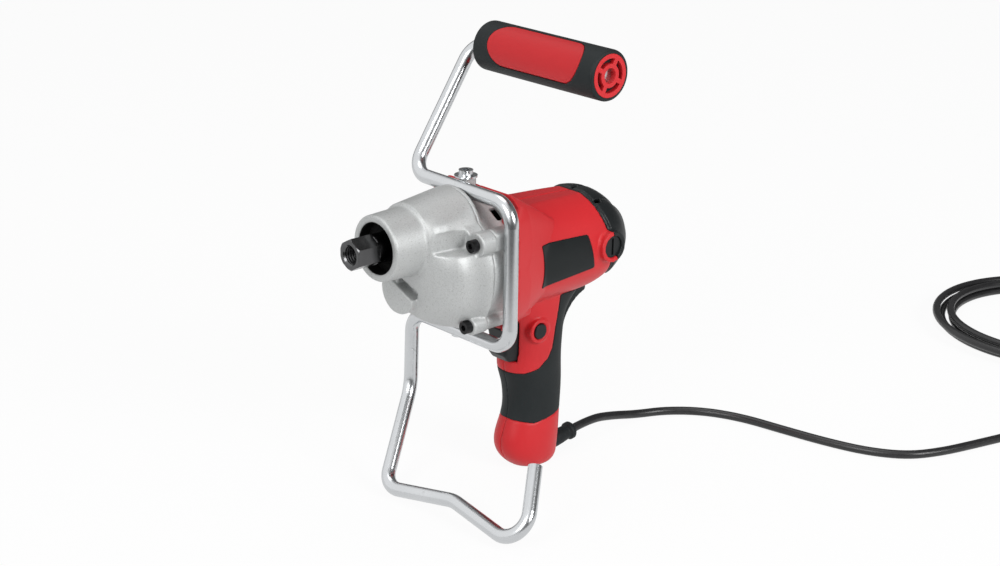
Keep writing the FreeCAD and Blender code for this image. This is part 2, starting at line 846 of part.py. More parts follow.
def motor_body(inset):
    # Round body over the motor, with a flat that falls to the rear along its top.
    def flat_at(y):
        return facet_height - facet_fall * (y - barrel_start) - inset

    y0 = middle_rear - 1
    y1 = cover_end + 9
    above = prism_x([(y0, flat_at(y0)), (y1, flat_at(y1)), (y1, 80), (y0, 80)], -80, 80)
    return Part.makeLoft(body_stations(inset), True).cut(above)


def cowl(inset):
    # Flared front of the motor housing, with a flat slope from the flange down to the barrel.
    front = upright_oval(middle_rear, flange_half_width - inset, cowl_crown - inset,
                         flange_bottom + inset, 4.0)
    rear = upright_oval(cowl_end, cowl_end_half_width - inset, body_top - inset,
                        body_bottom + 7 + inset, 3.0)

    def slope_at(y):
        return flange_top - cowl_fall * (y - middle_rear) - inset * math.sqrt(1 + cowl_fall**2)

    y0 = middle_rear - 1
    y1 = cowl_end + 1
    above = prism_x([(y0, slope_at(y0)), (y1, slope_at(y1)), (y1, 80), (y0, 80)], -80, 80)
    return Part.makeLoft([front, rear], True, True).cut(above)


def beyond_joint(offset, way):
    # All behind (way 1) or before (way -1) the leaning plane where the rear cover meets the housing.
    def joint_at(z):
        return joint_y + offset - joint_lean * (z - motor_z)

    high = 120.0
    low = -300.0
    far = joint_y + way * 400
    return prism_x([(joint_at(high), high), (joint_at(low), low), (far, low), (far, high)], -150, 150)


def keel(inset):
    # Tang under the rear of the barrel; its underside sweeps in an arc down to the back of the grip.
    hidden_y = 160.0
    hidden_z = -50.0
    tip = Vector(0, keel_back - inset, keel_low + inset)
    middle = Vector(0, keel_back - 21.5 - 0.6 * inset, keel_low - 8 + 0.8 * inset)
    foot = Vector(0, keel_back - 28.5 - inset, keel_low - 21.5)
    corners = [foot, Vector(0, hidden_y, foot.z), Vector(0, hidden_y, hidden_z),
               Vector(0, keel_back - inset, hidden_z), tip]
    edges = [Part.Arc(tip, middle, foot).toShape()]
    edges += [Part.LineSegment(a, b).toShape() for a, b in zip(corners, corners[1:])]
    side = Part.Face(Part.Wire(edges)).extrude(Vector(80, 0, 0))
    side.translate(Vector(-40, 0, 0))
    plan = Part.Face(level_oval(foot.z - 1, 120, keel_back - inset, keel_half_width - inset, 2.6))
    return side.common(plan.extrude(Vector(0, 0, hidden_z - foot.z + 2)))


def grip_stations(inset, floor_lift):
    # Side view of the pistol grip: height, front, back and half width of each section.
    return [
        level_oval(-56, 131 + inset, 197 - inset, 20.3 - inset, 2.6),
        level_oval(-66, 134 + inset, 196 - inset, 20.2 - inset, 2.6),
        level_oval(-76, 138 + inset, 188 - inset, 19.9 - inset, 2.5),
        level_oval(-88, 139 + inset, 185.3 - inset, 19.5 - inset, 2.5),
        level_oval(-101, 138 + inset, 185 - inset, 19 - inset, 2.4),
        level_oval(-114, 136.5 + inset, 185.6 - inset, 18.6 - inset, 2.3),
        level_oval(-126, 139.5 + inset, 186.6 - inset, 17.4 - inset, 2.3),
        level_oval(-138, 141.2 + inset, 187 - inset, 17 - inset, 2.2),
        level_oval(-150, 140.5 + inset, 186.2 - inset, 17.2 - inset, 2.2),
        level_oval(-161, 136.8 + inset, 185.3 - inset, 18.3 - inset, 2.2),
        level_oval(-171, 134.4 + inset, 184.3 - inset, 19 - inset, 2.2),
        level_oval(-181, 137 + inset, 183.4 - inset, 18.3 - inset, 2.2),
        level_oval(floor_z + floor_lift, 147 + inset, 179 - inset, 14 - inset, 2.2),
    ]


def grip_solid(inset, floor_lift):
    return Part.makeLoft(grip_stations(inset, floor_lift), True)


def grip_rubber():
    # Soft overmould round the back of the neck and the middle of the grip.
    zone = prism_x([
        (225, -60), (171.5, -60), (171, -67), (166, -100), (162, -107), (154, -113.5),
        (144, -116), (120, -116), (120, -150), (138, -152.5), (152, -155.5), (165, -154), (225, -147),
    ], -40, 40)
    outside = grip_solid(0, 0).fuse(keel(0))
    layer = outside.cut(grip_solid(rubber_thickness, rubber_thickness)).cut(keel(rubber_thickness))
    y, z = grip_screw_place
    access = rod_along_x(housing_head_radius + 0.4, -60, -housing_screw_depth + housing_wall, y, z)
    return layer.common(zone).cut(motor_body(0)).cut(access)


def brush_bosses():
    # Round seats of the two brush holders; the joint plane parts them between housing and cover.
    bosses = []
    for side in (-1, 1):
        pair = sorted((side * 27.0, side * brush_boss_face))
        bosses.append(rod_along_x(brush_boss_radius, pair[0], pair[1], brush_y, motor_z))
    return bosses


def brush_bores():
    bores = [rod_along_x(holder_radius + seat_fit, -60, 60, brush_y, motor_z)]
    for side in (-1, 1):
        pair = sorted((side * cap_seat, side * 60.0))
        bores.append(rod_along_x(cap_radius + seat_fit, pair[0], pair[1], brush_y, motor_z))
    return bores


def housing_shell():
    body = motor_body(0)
    outer = body.fuse(cowl(0)).fuse(grip_solid(0, 0)).fuse(keel(0))
    inner_body = motor_body(housing_wall)
    shell = outer.cut(inner_body).cut(cowl(housing_wall)).cut(grip_solid(housing_wall, housing_wall))
    plate = cowl(0).common(block(-80, 80, middle_rear, middle_rear + flange_plate, -120, 80))
    bore = rod_along_y(middle_radius - middle_wall, middle_rear - 1, middle_rear + 9, 0, middle_z)
    pieces = [plate.cut(bore)]
    within_wall = motor_body(housing_wall / 2)
    for y0 in (core_start, core_end - rib_width):
        slab = block(-60, 60, y0, y0 + rib_width, -120, 60)
        stack = rod_along_y(field_radius + seat_fit, y0 - 1, y0 + 9, 0, motor_z)
        pieces.append(slab.common(within_wall).cut(stack))
    turning = rod_along_y(winding_radius + 2, 180, 205, 0, motor_z)
    for y, z in housing_screw_places:
        pieces.append(rod_along_x(boss_radius, -60, 60, y, z).common(outer).cut(turning))
    boss_length = case_screw_end + 3 - middle_rear
    for x, z in case_screw_places:
        if z > motor_z:
            column = rod_along_y(case_column_radius, middle_rear, case_screw_end + 3, x, z)
            pieces.append(column.common(outer))
        else:
            pieces.append(Part.makeCone(lower_lug_radius, case_column_radius - 1, boss_length + 6,
                                        Vector(x, middle_rear, z), Vector(0, 1, 0)))
    for x, z in cover_screw_places():
        pieces.append(cover_boss(x, z).common(outer))
    pieces += brush_bosses()
    pieces.append(rod_along_x(button_collar_radius, button_seat - 3, button_collar_face, button_y, button_z))
    for piece in pieces + [post.common(outer) for post in clamp_posts()]:
        shell = shell.fuse(piece)
    cuts = brush_bores() + [
        rod_along_x(button_radius + free_gap, 5, 40, button_y, button_z),
        rod_along_x(button_radius + button_lip + free_gap, 5, button_seat, button_y, button_z),
        block(-trigger_half_width - 0.4, trigger_half_width + 0.4, 118, 150,
              trigger_bottom - 0.4, trigger_top + 0.4),
        guard_axis_rod(guard_radius + 0.1, -4, 20),
        rod_along_y(cord_radius + free_gap, guard_y - lead_length - 1, guard_y, 0, guard_z),
        beyond_joint(0, 1),
    ]
    for x, z in case_screw_places:
        cuts.append(rod_along_y(case_screw_radius + 0.05, middle_rear - 1, case_screw_end + 1, x, z))
    for x, z in cover_screw_places():
        cuts.append(rod_along_y(housing_screw_radius + 0.05, barrel_end - 9, barrel_end + 20, x, z))
    clamp_screw_y = guard_y - guard_setback + clamp_bar_width / 2
    for x in (-clamp_screw_x, clamp_screw_x):
        cuts.append(rod_along_z(cord_screw_radius + 0.05, clamp_seat_z - 4.6, clamp_seat_z + 1,
                                x, clamp_screw_y))
    for y, z in housing_screw_places:
        cuts.append(rod_along_x(housing_screw_radius + 0.05, -housing_screw_depth, housing_screw_reach, y, z))
        cuts.append(rod_along_x(housing_head_radius + 0.4, -60, -housing_screw_depth, y, z))
    return shell.cut(tuple(cuts)).cut(grip_rubber())


def cover_boss(x, z):
    # Post for one rear cover screw, carried by the wall of the motor body.
    y0 = core_end + coil_end + 1.5
    y1 = cover_screw_seat + 14
    outward = 1.22
    return rod_along_y(4.2, y0, y1, x, z).fuse(
        rod_along_y(4.2, y0, y1, x * outward, motor_z + (z - motor_z) * outward))


def cover_screw_places():
    places = []
    for turn in (45, 135, 225, 315):
        a = math.radians(turn)
        places.append((cover_screw_circle * math.cos(a), motor_z + cover_screw_circle * math.sin(a)))
    return places


def halves(shape):
    reach = 400
    left = shape.common(block(0, reach, -reach, reach, -reach, reach))
    right = shape.common(block(-reach, 0, -reach, reach, -reach, reach))
    return left, right


def housing_screws():
    screws = []
    for y, z in housing_screw_places:
        head = rod_along_x(housing_head_radius, -housing_screw_depth - housing_head_height,
                           -housing_screw_depth, y, z)
        shank = rod_along_x(housing_screw_radius, -housing_screw_depth, housing_screw_reach - 0.5, y, z)
        slot = block(-housing_screw_depth - 4, -housing_screw_depth - 1.2, y - 0.5, y + 0.5, z - 2, z + 2)
        cross = block(-housing_screw_depth - 4, -housing_screw_depth - 1.2, y - 2, y + 2, z - 0.5, z + 0.5)
        screws.append(joined([head, shank]).cut(slot).cut(cross))
    return Part.makeCompound(screws)


# Rear cover


def rear_cover():
    # Ventilated cap over the brush gear, with raised petals round it and an air slot between each two.
    before = beyond_joint(0, -1)
    outer = motor_body(0)
    inner = motor_body(cover_wall)
    shell = outer.cut(inner)
    raised = motor_body(-petal_height).cut(motor_body(cover_wall / 2))
    raised = raised.cut(beyond_joint(petal_setback, -1)).cut(block(-80, 80, petal_end, 400, -120, 80))
    reach = barrel_radius - 2
    slots = []
    for middle in (90, 270):
        for step in (-1, 0, 1):
            turn = middle + step * 360.0 / petal_count
            rise = -reach * math.sin(math.radians(turn))
            y0 = joint_y + petal_setback - joint_lean * rise
            gap = block(20, 60, y0 - 4, petal_end + 5, -petal_gap / 2, petal_gap / 2)
            slot = block(29, 60, y0 + 0.5, y0 + vent_slot, -petal_gap / 2, petal_gap / 2)
            for tool in (gap, slot):
                tool.rotate(Vector(0, 0, 0), Vector(0, 1, 0), turn)
                tool.translate(Vector(0, 0, motor_z))
            raised = raised.cut(gap)
            slots.append(slot)
    shell = shell.fuse(raised)
    for x, z in cover_screw_places():
        shell = shell.fuse(cover_boss(x, z).common(outer))
    seat = rod_along_y(small_bearing_outer + 3, rear_bearing_start - 1.5, cover_end - 1, 0, motor_z)
    for piece in [seat] + brush_bosses():
        shell = shell.fuse(piece)
    bearing_end = rear_bearing_start + small_bearing_width
    cuts = brush_bores() + slots + [
        before,
        rod_along_y(small_bearing_outer + seat_fit, rear_bearing_start - 5, bearing_end, 0, motor_z),
        rod_along_y(shaft_tail_radius + 2, rear_bearing_start, bearing_end + 3, 0, motor_z),
    ]
    for x, z in cover_screw_places():
        cuts.append(rod_along_y(housing_screw_radius + 0.2, barrel_end - 20, cover_screw_seat + 1, x, z))
        cuts.append(rod_along_y(housing_head_radius + 0.4, cover_screw_seat, cover_end + 5, x, z))
    return shell.cut(tuple(cuts))


def rear_cover_screws():
    screws = []
    for x, z in cover_screw_places():
        head = rod_along_y(housing_head_radius, cover_screw_seat,
                           cover_screw_seat + housing_head_height, x, z)
        shank = rod_along_y(housing_screw_radius, barrel_end - 8.5, cover_screw_seat, x, z)
        slot = block(x - 2, x + 2, cover_screw_seat + 1.2, cover_screw_seat + 4, z - 0.5, z + 0.5)
        screws.append(joined([head, shank]).cut(slot))
    return Part.makeCompound(screws)


# Motor


def armature_shaft():
    turn = motor_to_lay + math.pi / motor_teeth
    pinion = gear_blank(motor_teeth, fine_module, pinion_shift, layshaft_gear_width + 1.5,
                        lay_gear_start - 0.5, turn)
    pinion.translate(Vector(0, 0, motor_z))
    neck = lay_gear_end + 1.0
    tail = rear_bearing_start - end_gap
    end = rear_bearing_start + small_bearing_width + 1.0
    shaft = turned([
        (neck - 2, 0),
        (neck - 2, 3.0),
        (neck, 3.0),
        (neck, shaft_radius),
        (tail, shaft_radius),
        (tail, shaft_tail_radius),
        (end, shaft_tail_radius),
        (end, 0),
    ], 0, motor_z)
    return joined([shaft, pinion])


def armature_core():
    core = tube_along_y(armature_radius, shaft_radius + seat_fit, core_start, core_end, 0, motor_z)
    for k in range(armature_slots):
        slot = block(-1.6, 1.6, core_start - 1, core_end + 1, armature_radius - 6.5, armature_radius + 1)
        slot.rotate(Vector(0, 0, 0), Vector(0, 1, 0), 360.0 * k / armature_slots)
        slot.translate(Vector(0, 0, motor_z))
        core = core.cut(slot)
    return core


def armature_windings():
    # Copper end turns on both ends of the armature stack.
    heads = []
    for y0, way in ((core_start, -1), (core_end, 1)):
        heads.append(turned([
            (y0, shaft_radius + 1),
            (y0, winding_radius),
            (y0 + way * winding_head * 0.6, winding_radius),
            (y0 + way * winding_head, winding_radius - 5),
            (y0 + way * winding_head, shaft_radius + 1),
        ], 0, motor_z))
    return Part.makeCompound(heads)


def commutator():
    y0 = commutator_start
    y1 = y0 + commutator_length
    return turned([
        (y0 - 2, shaft_radius + seat_fit),
        (y0 - 2, commutator_radius + 1.5),
        (y0 + 1, commutator_radius + 1.5),
        (y0 + 1, commutator_radius),
        (y1, commutator_radius),
        (y1, shaft_radius + seat_fit),
    ], 0, motor_z)


def fan():
    y1 = fan_start + fan_width
    hub = tube_along_y(9.0, shaft_radius + seat_fit, fan_start, y1, 0, motor_z)
    plate = tube_along_y(fan_radius, shaft_radius + seat_fit, y1 - 1.8, y1, 0, motor_z)
    blades = []
    for k in range(fan_blades):
        blade = block(-0.8, 0.8, fan_start, y1 - 1, 8.0, fan_radius - 0.5)
        blade.rotate(Vector(0, 0, 0), Vector(0, 1, 0), 360.0 * k / fan_blades)
        blade.translate(Vector(0, 0, motor_z))
        blades.append(blade)
    return joined([hub, plate] + blades)


def fan_baffle():
    skirt_radius = field_radius - 0.6
    y0 = fan_start + fan_width + 2.5
    plate = tube_along_y(skirt_radius, field_bore + 2, y0, y0 + 2, 0, motor_z)
    skirt = tube_along_y(skirt_radius, skirt_radius - 1.5, y0, core_start, 0, motor_z)
    return joined([plate, skirt])


def field_core():
    core = tube_along_y(field_radius, field_bore, core_start, core_end, 0, motor_z)
    for side in (-1, 1):
        pair = sorted((side * 15.0, side * 28.0))
        core = core.cut(block(pair[0], pair[1], core_start - 1, core_end + 1, motor_z - 9, motor_z + 9))
        flat = sorted((motor_z + side * field_flat, motor_z + side * 60))
        core = core.cut(block(-60, 60, core_start - 1, core_end + 1, flat[0], flat[1]))
    return core


def field_coils():
    # One racetrack coil round each pole, with its end turns past the stack.
    coils = []
    for side in (-1, 1):
        ends = []
        for y0 in (core_start - coil_end, core_end):
            ring = tube_along_y(field_flat - 0.4, field_bore + 1.6, y0, y0 + coil_end, 0, motor_z)
            half = block(-40, 40, y0 - 1, y0 + coil_end + 1, motor_z + 1, motor_z + 40)
            if side < 0:
                half = block(-40, 40, y0 - 1, y0 + coil_end + 1, motor_z - 40, motor_z - 1)
            ends.append(ring.common(half))
        for x in (-1, 1):
            pair = sorted((x * (field_bore + 1.6), x * (field_flat - 0.4)))
            height = sorted((motor_z + side * 1, motor_z + side * 8.5))
            ends.append(block(pair[0], pair[1], core_start - coil_end, core_end + coil_end,
                              height[0], height[1]))
        coils.append(joined(ends))
    return Part.makeCompound(coils)


# Brush gear


def brush_holders():
    tubes = []
    for side in (-1, 1):
        pair = sorted((side * (commutator_radius + 1.8), side * (brush_boss_face - 4)))
        tube = rod_along_x(holder_radius, pair[0], pair[1], brush_y, motor_z)
        hole = block(-60, 60, brush_y - brush_width / 2 - 0.1, brush_y + brush_width / 2 + 0.1,
                     motor_z - brush_height / 2 - 0.1, motor_z + brush_height / 2 + 0.1)
        tubes.append(tube.cut(hole))
    return Part.makeCompound(tubes)


def carbon_brushes():
    bricks = []
    for side in (-1, 1):
        pair = sorted((side * (commutator_radius + 0.1), side * (commutator_radius + 0.1 + brush_length)))
        brick = block(pair[0], pair[1], brush_y - brush_width / 2, brush_y + brush_width / 2,
                      motor_z - brush_height / 2, motor_z + brush_height / 2)
        bricks.append(brick.cut(rod_along_y(commutator_radius + 0.1, brush_y - 20, brush_y + 20, 0, motor_z)))
    return Part.makeCompound(bricks)


def brush_springs():
    start = commutator_radius + 0.1 + brush_length
    sleeves = []
    for side in (-1, 1):
        pair = sorted((side * (start + 0.05), side * (brush_boss_face - 4)))
        sleeve = rod_along_x(3.2, pair[0], pair[1], brush_y, motor_z)
        sleeves.append(sleeve.cut(rod_along_x(2.2, -60, 60, brush_y, motor_z)))
    return Part.makeCompound(sleeves)


def brush_caps():
    caps = []
    for side in (-1, 1):
        stem = sorted((side * (brush_boss_face - 4), side * (cap_seat + 0.5)))
        disc = sorted((side * cap_seat, side * cap_face))
        cap = joined([
            rod_along_x(holder_radius, stem[0], stem[1], brush_y, motor_z),
            rod_along_x(cap_radius, disc[0], disc[1], brush_y, motor_z),
        ])
        slot_x = sorted((side * (cap_face - 1.4), side * (cap_face + 9)))
        caps.append(cap.cut(block(slot_x[0], slot_x[1], brush_y - cap_slot / 2, brush_y + cap_slot / 2,
                                  motor_z - 6, motor_z + 6)))
    return Part.makeCompound(caps)


# Trigger, lock button and switch


def trigger():
    front = trigger_front
    shape = prism_x([
        (front + 3, trigger_top), (front, trigger_top - 5), (front + 2.2, trigger_top - 14),
        (front + 1.2, trigger_bottom + 5), (front + 5, trigger_bottom), (trigger_rear, trigger_bottom),
        (trigger_rear, trigger_top),
    ], -trigger_half_width, trigger_half_width)
    rounded = [e for e in shape.Edges if abs(abs(e.CenterOfMass.x) - trigger_half_width) < 1e-6
               and e.CenterOfMass.y < front + 4]
    return shape.makeFillet(2.2, rounded)


def lock_button():
    inner = button_seat - 1.6
    head = rod_along_x(button_radius, inner, button_face, button_y, button_z)
    edges = [e for e in head.Edges if abs(e.CenterOfMass.x - button_face) < 1e-6]
    head = head.makeFillet(0.8, edges)
    lip = rod_along_x(button_radius + button_lip, inner, button_seat - 0.1, button_y, button_z)
    return joined([head, lip])


def switch_body():
    y0 = trigger_rear + trigger_travel + 0.6
    top = trigger_top - 1
    body = block(-switch_half_width, switch_half_width, y0, y0 + switch_length, top - switch_height, top)
    side = prism_x([
        (y0 + 4, top - switch_height), (y0 + 18, top - switch_height),
        (y0 + 16, top - switch_height - 5), (y0 + 6, top - switch_height - 5),
    ], -6, 6)
    return joined([body, side])


# Cord and what is on it


def guard_heading():
    tilt = math.radians(guard_tilt)
    return Vector(0, math.cos(tilt), math.sin(tilt))


def guard_axis_rod(radius, start, end):
    base = Vector(0, guard_y, guard_z) + guard_heading() * start
    return Part.makeCylinder(radius, end - start, base, guard_heading())


def guard_end():
    return Vector(0, guard_y, guard_z) + guard_heading() * guard_length


def cord_guard():
    # Tapered rubber sleeve with a bead on its outer end.
    base = Vector(0, guard_y, guard_z)
    taper = Part.makeCone(guard_radius, guard_radius - 0.8, guard_length - 4, base, guard_heading())
    bead = guard_axis_rod(guard_ring_radius, guard_length - 5, guard_length)
    return joined([taper, bead])


def cord_clamp():
    # Plastic bar across the cord, screwed to a post in each half.
    y0 = guard_y - guard_setback
    bar = block(-clamp_reach, clamp_reach, y0, y0 + clamp_bar_width,
                clamp_seat_z, clamp_seat_z + clamp_bar_height)
    for x in (-clamp_screw_x, clamp_screw_x):
        bar = bar.cut(rod_along_z(cord_screw_radius + 0.15, -200, -150, x, y0 + clamp_bar_width / 2))
    return bar


def cord_clamp_screws():
    y = guard_y - guard_setback + clamp_bar_width / 2
    top = clamp_seat_z + clamp_bar_height
    screws = []
    for x in (-clamp_screw_x, clamp_screw_x):
        shank = rod_along_z(cord_screw_radius, clamp_seat_z - 4.5, top, x, y)
        head = rod_along_z(2 * cord_screw_radius, top, top + 1.8, x, y)
        slot = block(x - 2, x + 2, y - 0.3, y + 0.3, top + 0.9, top + 3)
        screws.append(joined([shank, head]).cut(slot))
    return Part.makeCompound(screws)


def clamp_posts():
    y0 = guard_y - guard_setback
    posts = []
    for side in (-1, 1):
        pair = sorted((side * (cord_radius + 1.5), side * clamp_reach))
        posts.append(block(pair[0], pair[1], y0, y0 + clamp_bar_width, floor_z + 1, clamp_seat_z))
    return posts


def cord_points():
    start = guard_end()
    lying = floor_z + cord_radius
    return [
        start,
        start + guard_heading() * 20,
        Vector(-1, 249, -182),
        Vector(1, 273, lying + 0.5),
        Vector(10, 297, lying),
        Vector(30, 318, lying),
        Vector(58, 331, lying),
        Vector(92, 337, lying),
        Vector(127, 344, lying),
        Vector(159, 354, lying),
        Vector(183, 371, lying),
        Vector(195, 396, lying),
        Vector(203, 426, lying),
        Vector(212, 462, lying),
        Vector(220, 506, lying),
        Vector(222, 556, lying),
        Vector(216, 604, lying),
        Vector(coil_x + coil_radius, 648, lying),
        Vector(coil_x + coil_radius, coil_y - 2 * cord_radius, lying),
    ]


def arc_radii(points):
    radii = []
    for k in range(1, len(points) - 1):
        before = points[k - 1] - points[k]
        after = points[k + 1] - points[k]
        turn = math.pi - before.getAngle(after)
        radii.append(0.45 * min(before.Length, after.Length) / math.tan(turn / 2))
    return radii


def cord():
    points = cord_points()
    radii = arc_radii(points)
    print("cord radii", [round(r) for r in radii])
    path = rounded_path(points, radii)
    tube = swept_tube(path, cord_radius)
    print("cord length", round(path.Length), "volume ratio",
          round(tube.Volume / (math.pi * cord_radius**2 * path.Length), 4))
    return tube


def coil_place(turns):
    # Height and radius of the coil after a number of turns: in on the floor, out on top.
    half = coil_turns
    lying = floor_z + cord_radius
    inward = min(turns, 2 * half - turns)
    radius = coil_radius - coil_pitch * inward
    climb = min(max((turns - half + 0.25) / 0.5, 0.0), 1.0)
    height = lying + coil_layer * climb * climb * (3 - 2 * climb)
    leave = max(turns - 2 * half + 0.75, 0.0)
    radius = radius + tail_spread * leave * leave
    a = 2 * math.pi * turns
    return Vector(coil_x + radius * math.cos(a), coil_y + radius * math.sin(a), height)


def coil_heading(turns):
    small = 1e-4
    return (coil_place(turns + small) - coil_place(turns - small)).normalize()


def biarc(p0, t0, p1, t1):
    # Two arcs that leave p0 along t0 and reach p1 along t1.
    v = p1 - p0
    t = t0 + t1
    k = 2 * (1 - t0.dot(t1))
    vt = v.dot(t)
    d = (math.sqrt(vt * vt + k * v.dot(v)) - vt) / k
    q0 = p0 + t0 * d
    q1 = p1 - t1 * d
    joint = (q0 + q1) * 0.5
    edges = []
    for a, q, b in ((p0, q0, joint), (joint, q1, p1)):
        chord = (a + b) * 0.5
        rise = (q - chord).Length
        half = (b - a).Length / 2
        radius = half * d / rise
        depth = radius - math.sqrt(radius * radius - half * half)
        middle = chord + (q - chord) * (depth / rise)
        edges.append(Part.Arc(a, middle, b).toShape())
    return edges


def coil_path():
    lead = 2 * cord_radius
    steps = 4 * 2 * coil_turns
    begin = coil_place(0)
    edges = [Part.LineSegment(begin - Vector(0, lead, 0), begin).toShape()]
    heading = Vector(0, 1, 0)
    for k in range(steps):
        p0 = coil_place(k / 4)
        p1 = coil_place((k + 1) / 4)
        following = coil_heading((k + 1) / 4)
        if k == steps - 1:
            following = Vector(following.x, following.y, 0).normalize()
        edges += biarc(p0, heading, p1, following)
        heading = following
    end = coil_place(2 * coil_turns)
    edges.append(Part.LineSegment(end, end + heading * lead).toShape())
    return Part.Wire(edges), end + heading * lead, heading


def coil_gap(path):
    # Least gap between turns, measured on points along the path.
    points = path.discretize(Number=700)
    spacing = path.Length / 699
    far = int(60 / spacing)
    least = 1e9
    for i in range(0, len(points), 2):
        for j in range(i + far, len(points), 2):
            least = min(least, (points[i] - points[j]).Length)
    return least - 2 * cord_radius


def cord_coil():
    path, end, heading = coil_path()
    tube = swept_tube(path, cord_radius)
    print("coil length", round(path.Length), "least gap", round(coil_gap(path), 2), "volume ratio",
          round(tube.Volume / (math.pi * cord_radius**2 * path.Length), 4))
    return tube


def plug_frame():
    path, end, heading = coil_path()
    across = Vector(heading.y, -heading.x, 0)
    return end, heading, across


def plug():
    # Moulded two-pin plug, narrow at the cord and flat on its pin face.
    end, heading, across = plug_frame()
    lie = floor_z + plug_half_height - end.z
    wires = []
    for along, half_width, half_height in (
        (0, 5.0, 5.0),
        (plug_length * 0.35, plug_half_width * 0.6, plug_half_height * 0.85),
        (plug_length * 0.75, plug_half_width, plug_half_height),
        (plug_length, plug_half_width, plug_half_height),
    ):
        centre = end + heading * along
        drop = Vector(0, 0, lie * min(along / (0.7 * plug_length), 1.0))
        points = []
        for k in range(12):
            a = 2 * math.pi * k / 12
            points.append(centre + drop + across * (half_width * power_of(math.cos(a), 2.8))
                          + Vector(0, 0, half_height * power_of(math.sin(a), 2.8)))
        wires.append(closed_curve(points))
    return Part.makeLoft(wires, True)


def plug_pins():
    end, heading, across = plug_frame()
    face = end + heading * plug_length
    lie = floor_z + plug_half_height - end.z
    face = face + Vector(0, 0, lie)
    pins = []
    for side in (-1, 1):
        foot = face + across * (side * pin_spacing / 2)
        pins.append(Part.makeCylinder(pin_radius, pin_length, foot, heading))
    return Part.makeCompound(pins)


def main():
    os.makedirs("parts", exist_ok=True)
    save(gear_housing(), "gear_housing")
    save(middle_housing(), "middle_housing")
    save(gearcase_screws(), "gearcase_screws")
    save(spindle(), "spindle")
    save(output_gear(), "output_gear")
    save(spindle_key(), "spindle_key")
    save(gear_ring(), "gear_retaining_ring")
    save(layshaft(), "layshaft")
    save(layshaft_gear(), "layshaft_gear")
    fit = running_fit
    save(bearing(front_journal_radius + fit, front_bearing_outer, front_bearing_width, front_bearing_start),
         "spindle_front_bearing")
    save(bearing(rear_journal_radius + fit, small_bearing_outer, small_bearing_width, rear_seat_start),
         "spindle_rear_bearing")
    save(tube_along_y(front_bearing_outer, collar_radius + fit, seal_start, seal_start + seal_width),
         "spindle_seal")
    save(tube_along_y(bush_outer, rear_journal_radius + fit, bush_start, bush_start + bush_width,
                      lay_x, lay_z),
         "layshaft_front_bush")
    save(bearing(rear_journal_radius + fit, lay_bearing_outer, lay_bearing_width, rear_seat_start,
                 lay_x, lay_z),
         "layshaft_rear_bearing")
    save(bearing(motor_bearing_bore + fit, small_bearing_outer, motor_bearing_width, rear_seat_start + 1,
                 0, motor_z),
         "motor_front_bearing")
    save(bearing(shaft_tail_radius + fit, small_bearing_outer, small_bearing_width, rear_bearing_start,
                 0, motor_z),
         "motor_rear_bearing")
    save(armature_shaft(), "armature_shaft")
    save(armature_core(), "armature_core")
    save(armature_windings(), "armature_windings")
    save(commutator(), "commutator")
    save(fan(), "fan")
    save(fan_baffle(), "fan_baffle")
    save(field_core(), "field_core")
    save(field_coils(), "field_coils")
    save(brush_holders(), "brush_holders")
    save(carbon_brushes(), "carbon_brushes")
    save(brush_springs(), "brush_springs")
    save(brush_caps(), "brush_caps")
    left, right = halves(housing_shell())
    save(left, "housing_left")
    save(right, "housing_right")
    left, right = halves(grip_rubber())
    save(left, "grip_rubber_left")
    save(right, "grip_rubber_right")
    save(housing_screws(), "housing_screws")
    save(rear_cover(), "rear_cover")
    save(rear_cover_screws(), "rear_cover_screws")
    save(trigger(), "trigger")
    save(lock_button(), "lock_button")
    save(switch_body(), "switch_body")
    save(handle_rod(), "handle_rod")
    save(rod_clamp_washers(), "rod_clamp_washers")
    save(rod_clamp_screws(), "rod_clamp_screws")
    save(handle_core(), "handle_core")
    save(handle_rubber(), "handle_rubber")
    save(cord_guard(), "cord_guard")
    save(cord_clamp(), "cord_clamp")
    save(cord_clamp_screws(), "cord_clamp_screws")
    save(rod_along_y(cord_radius, guard_y - lead_length, guard_y - 1, 0, guard_z), "cord_lead")
    save(cord(), "cord")
    save(cord_coil(), "cord_coil")
    save(plug(), "plug")
    save(plug_pins(), "plug_pins")


main()
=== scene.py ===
import math

import bmesh
import bpy
from mathutils import Matrix, Quaternion, Vector
from mathutils.bvhtree import BVHTree


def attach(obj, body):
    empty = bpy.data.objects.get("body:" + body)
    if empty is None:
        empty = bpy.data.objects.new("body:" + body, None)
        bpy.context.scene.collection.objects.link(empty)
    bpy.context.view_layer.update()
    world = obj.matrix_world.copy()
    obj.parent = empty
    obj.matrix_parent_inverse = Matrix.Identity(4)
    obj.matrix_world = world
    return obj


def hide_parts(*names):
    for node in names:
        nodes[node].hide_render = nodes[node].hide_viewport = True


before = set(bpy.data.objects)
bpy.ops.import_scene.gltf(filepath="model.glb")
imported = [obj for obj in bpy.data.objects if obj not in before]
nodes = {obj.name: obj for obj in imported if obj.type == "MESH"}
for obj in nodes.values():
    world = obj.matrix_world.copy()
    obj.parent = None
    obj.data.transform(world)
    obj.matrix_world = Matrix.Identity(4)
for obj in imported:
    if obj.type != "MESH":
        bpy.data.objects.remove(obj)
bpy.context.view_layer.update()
scene = bpy.context.scene
scene.view_settings.view_transform = "Standard"


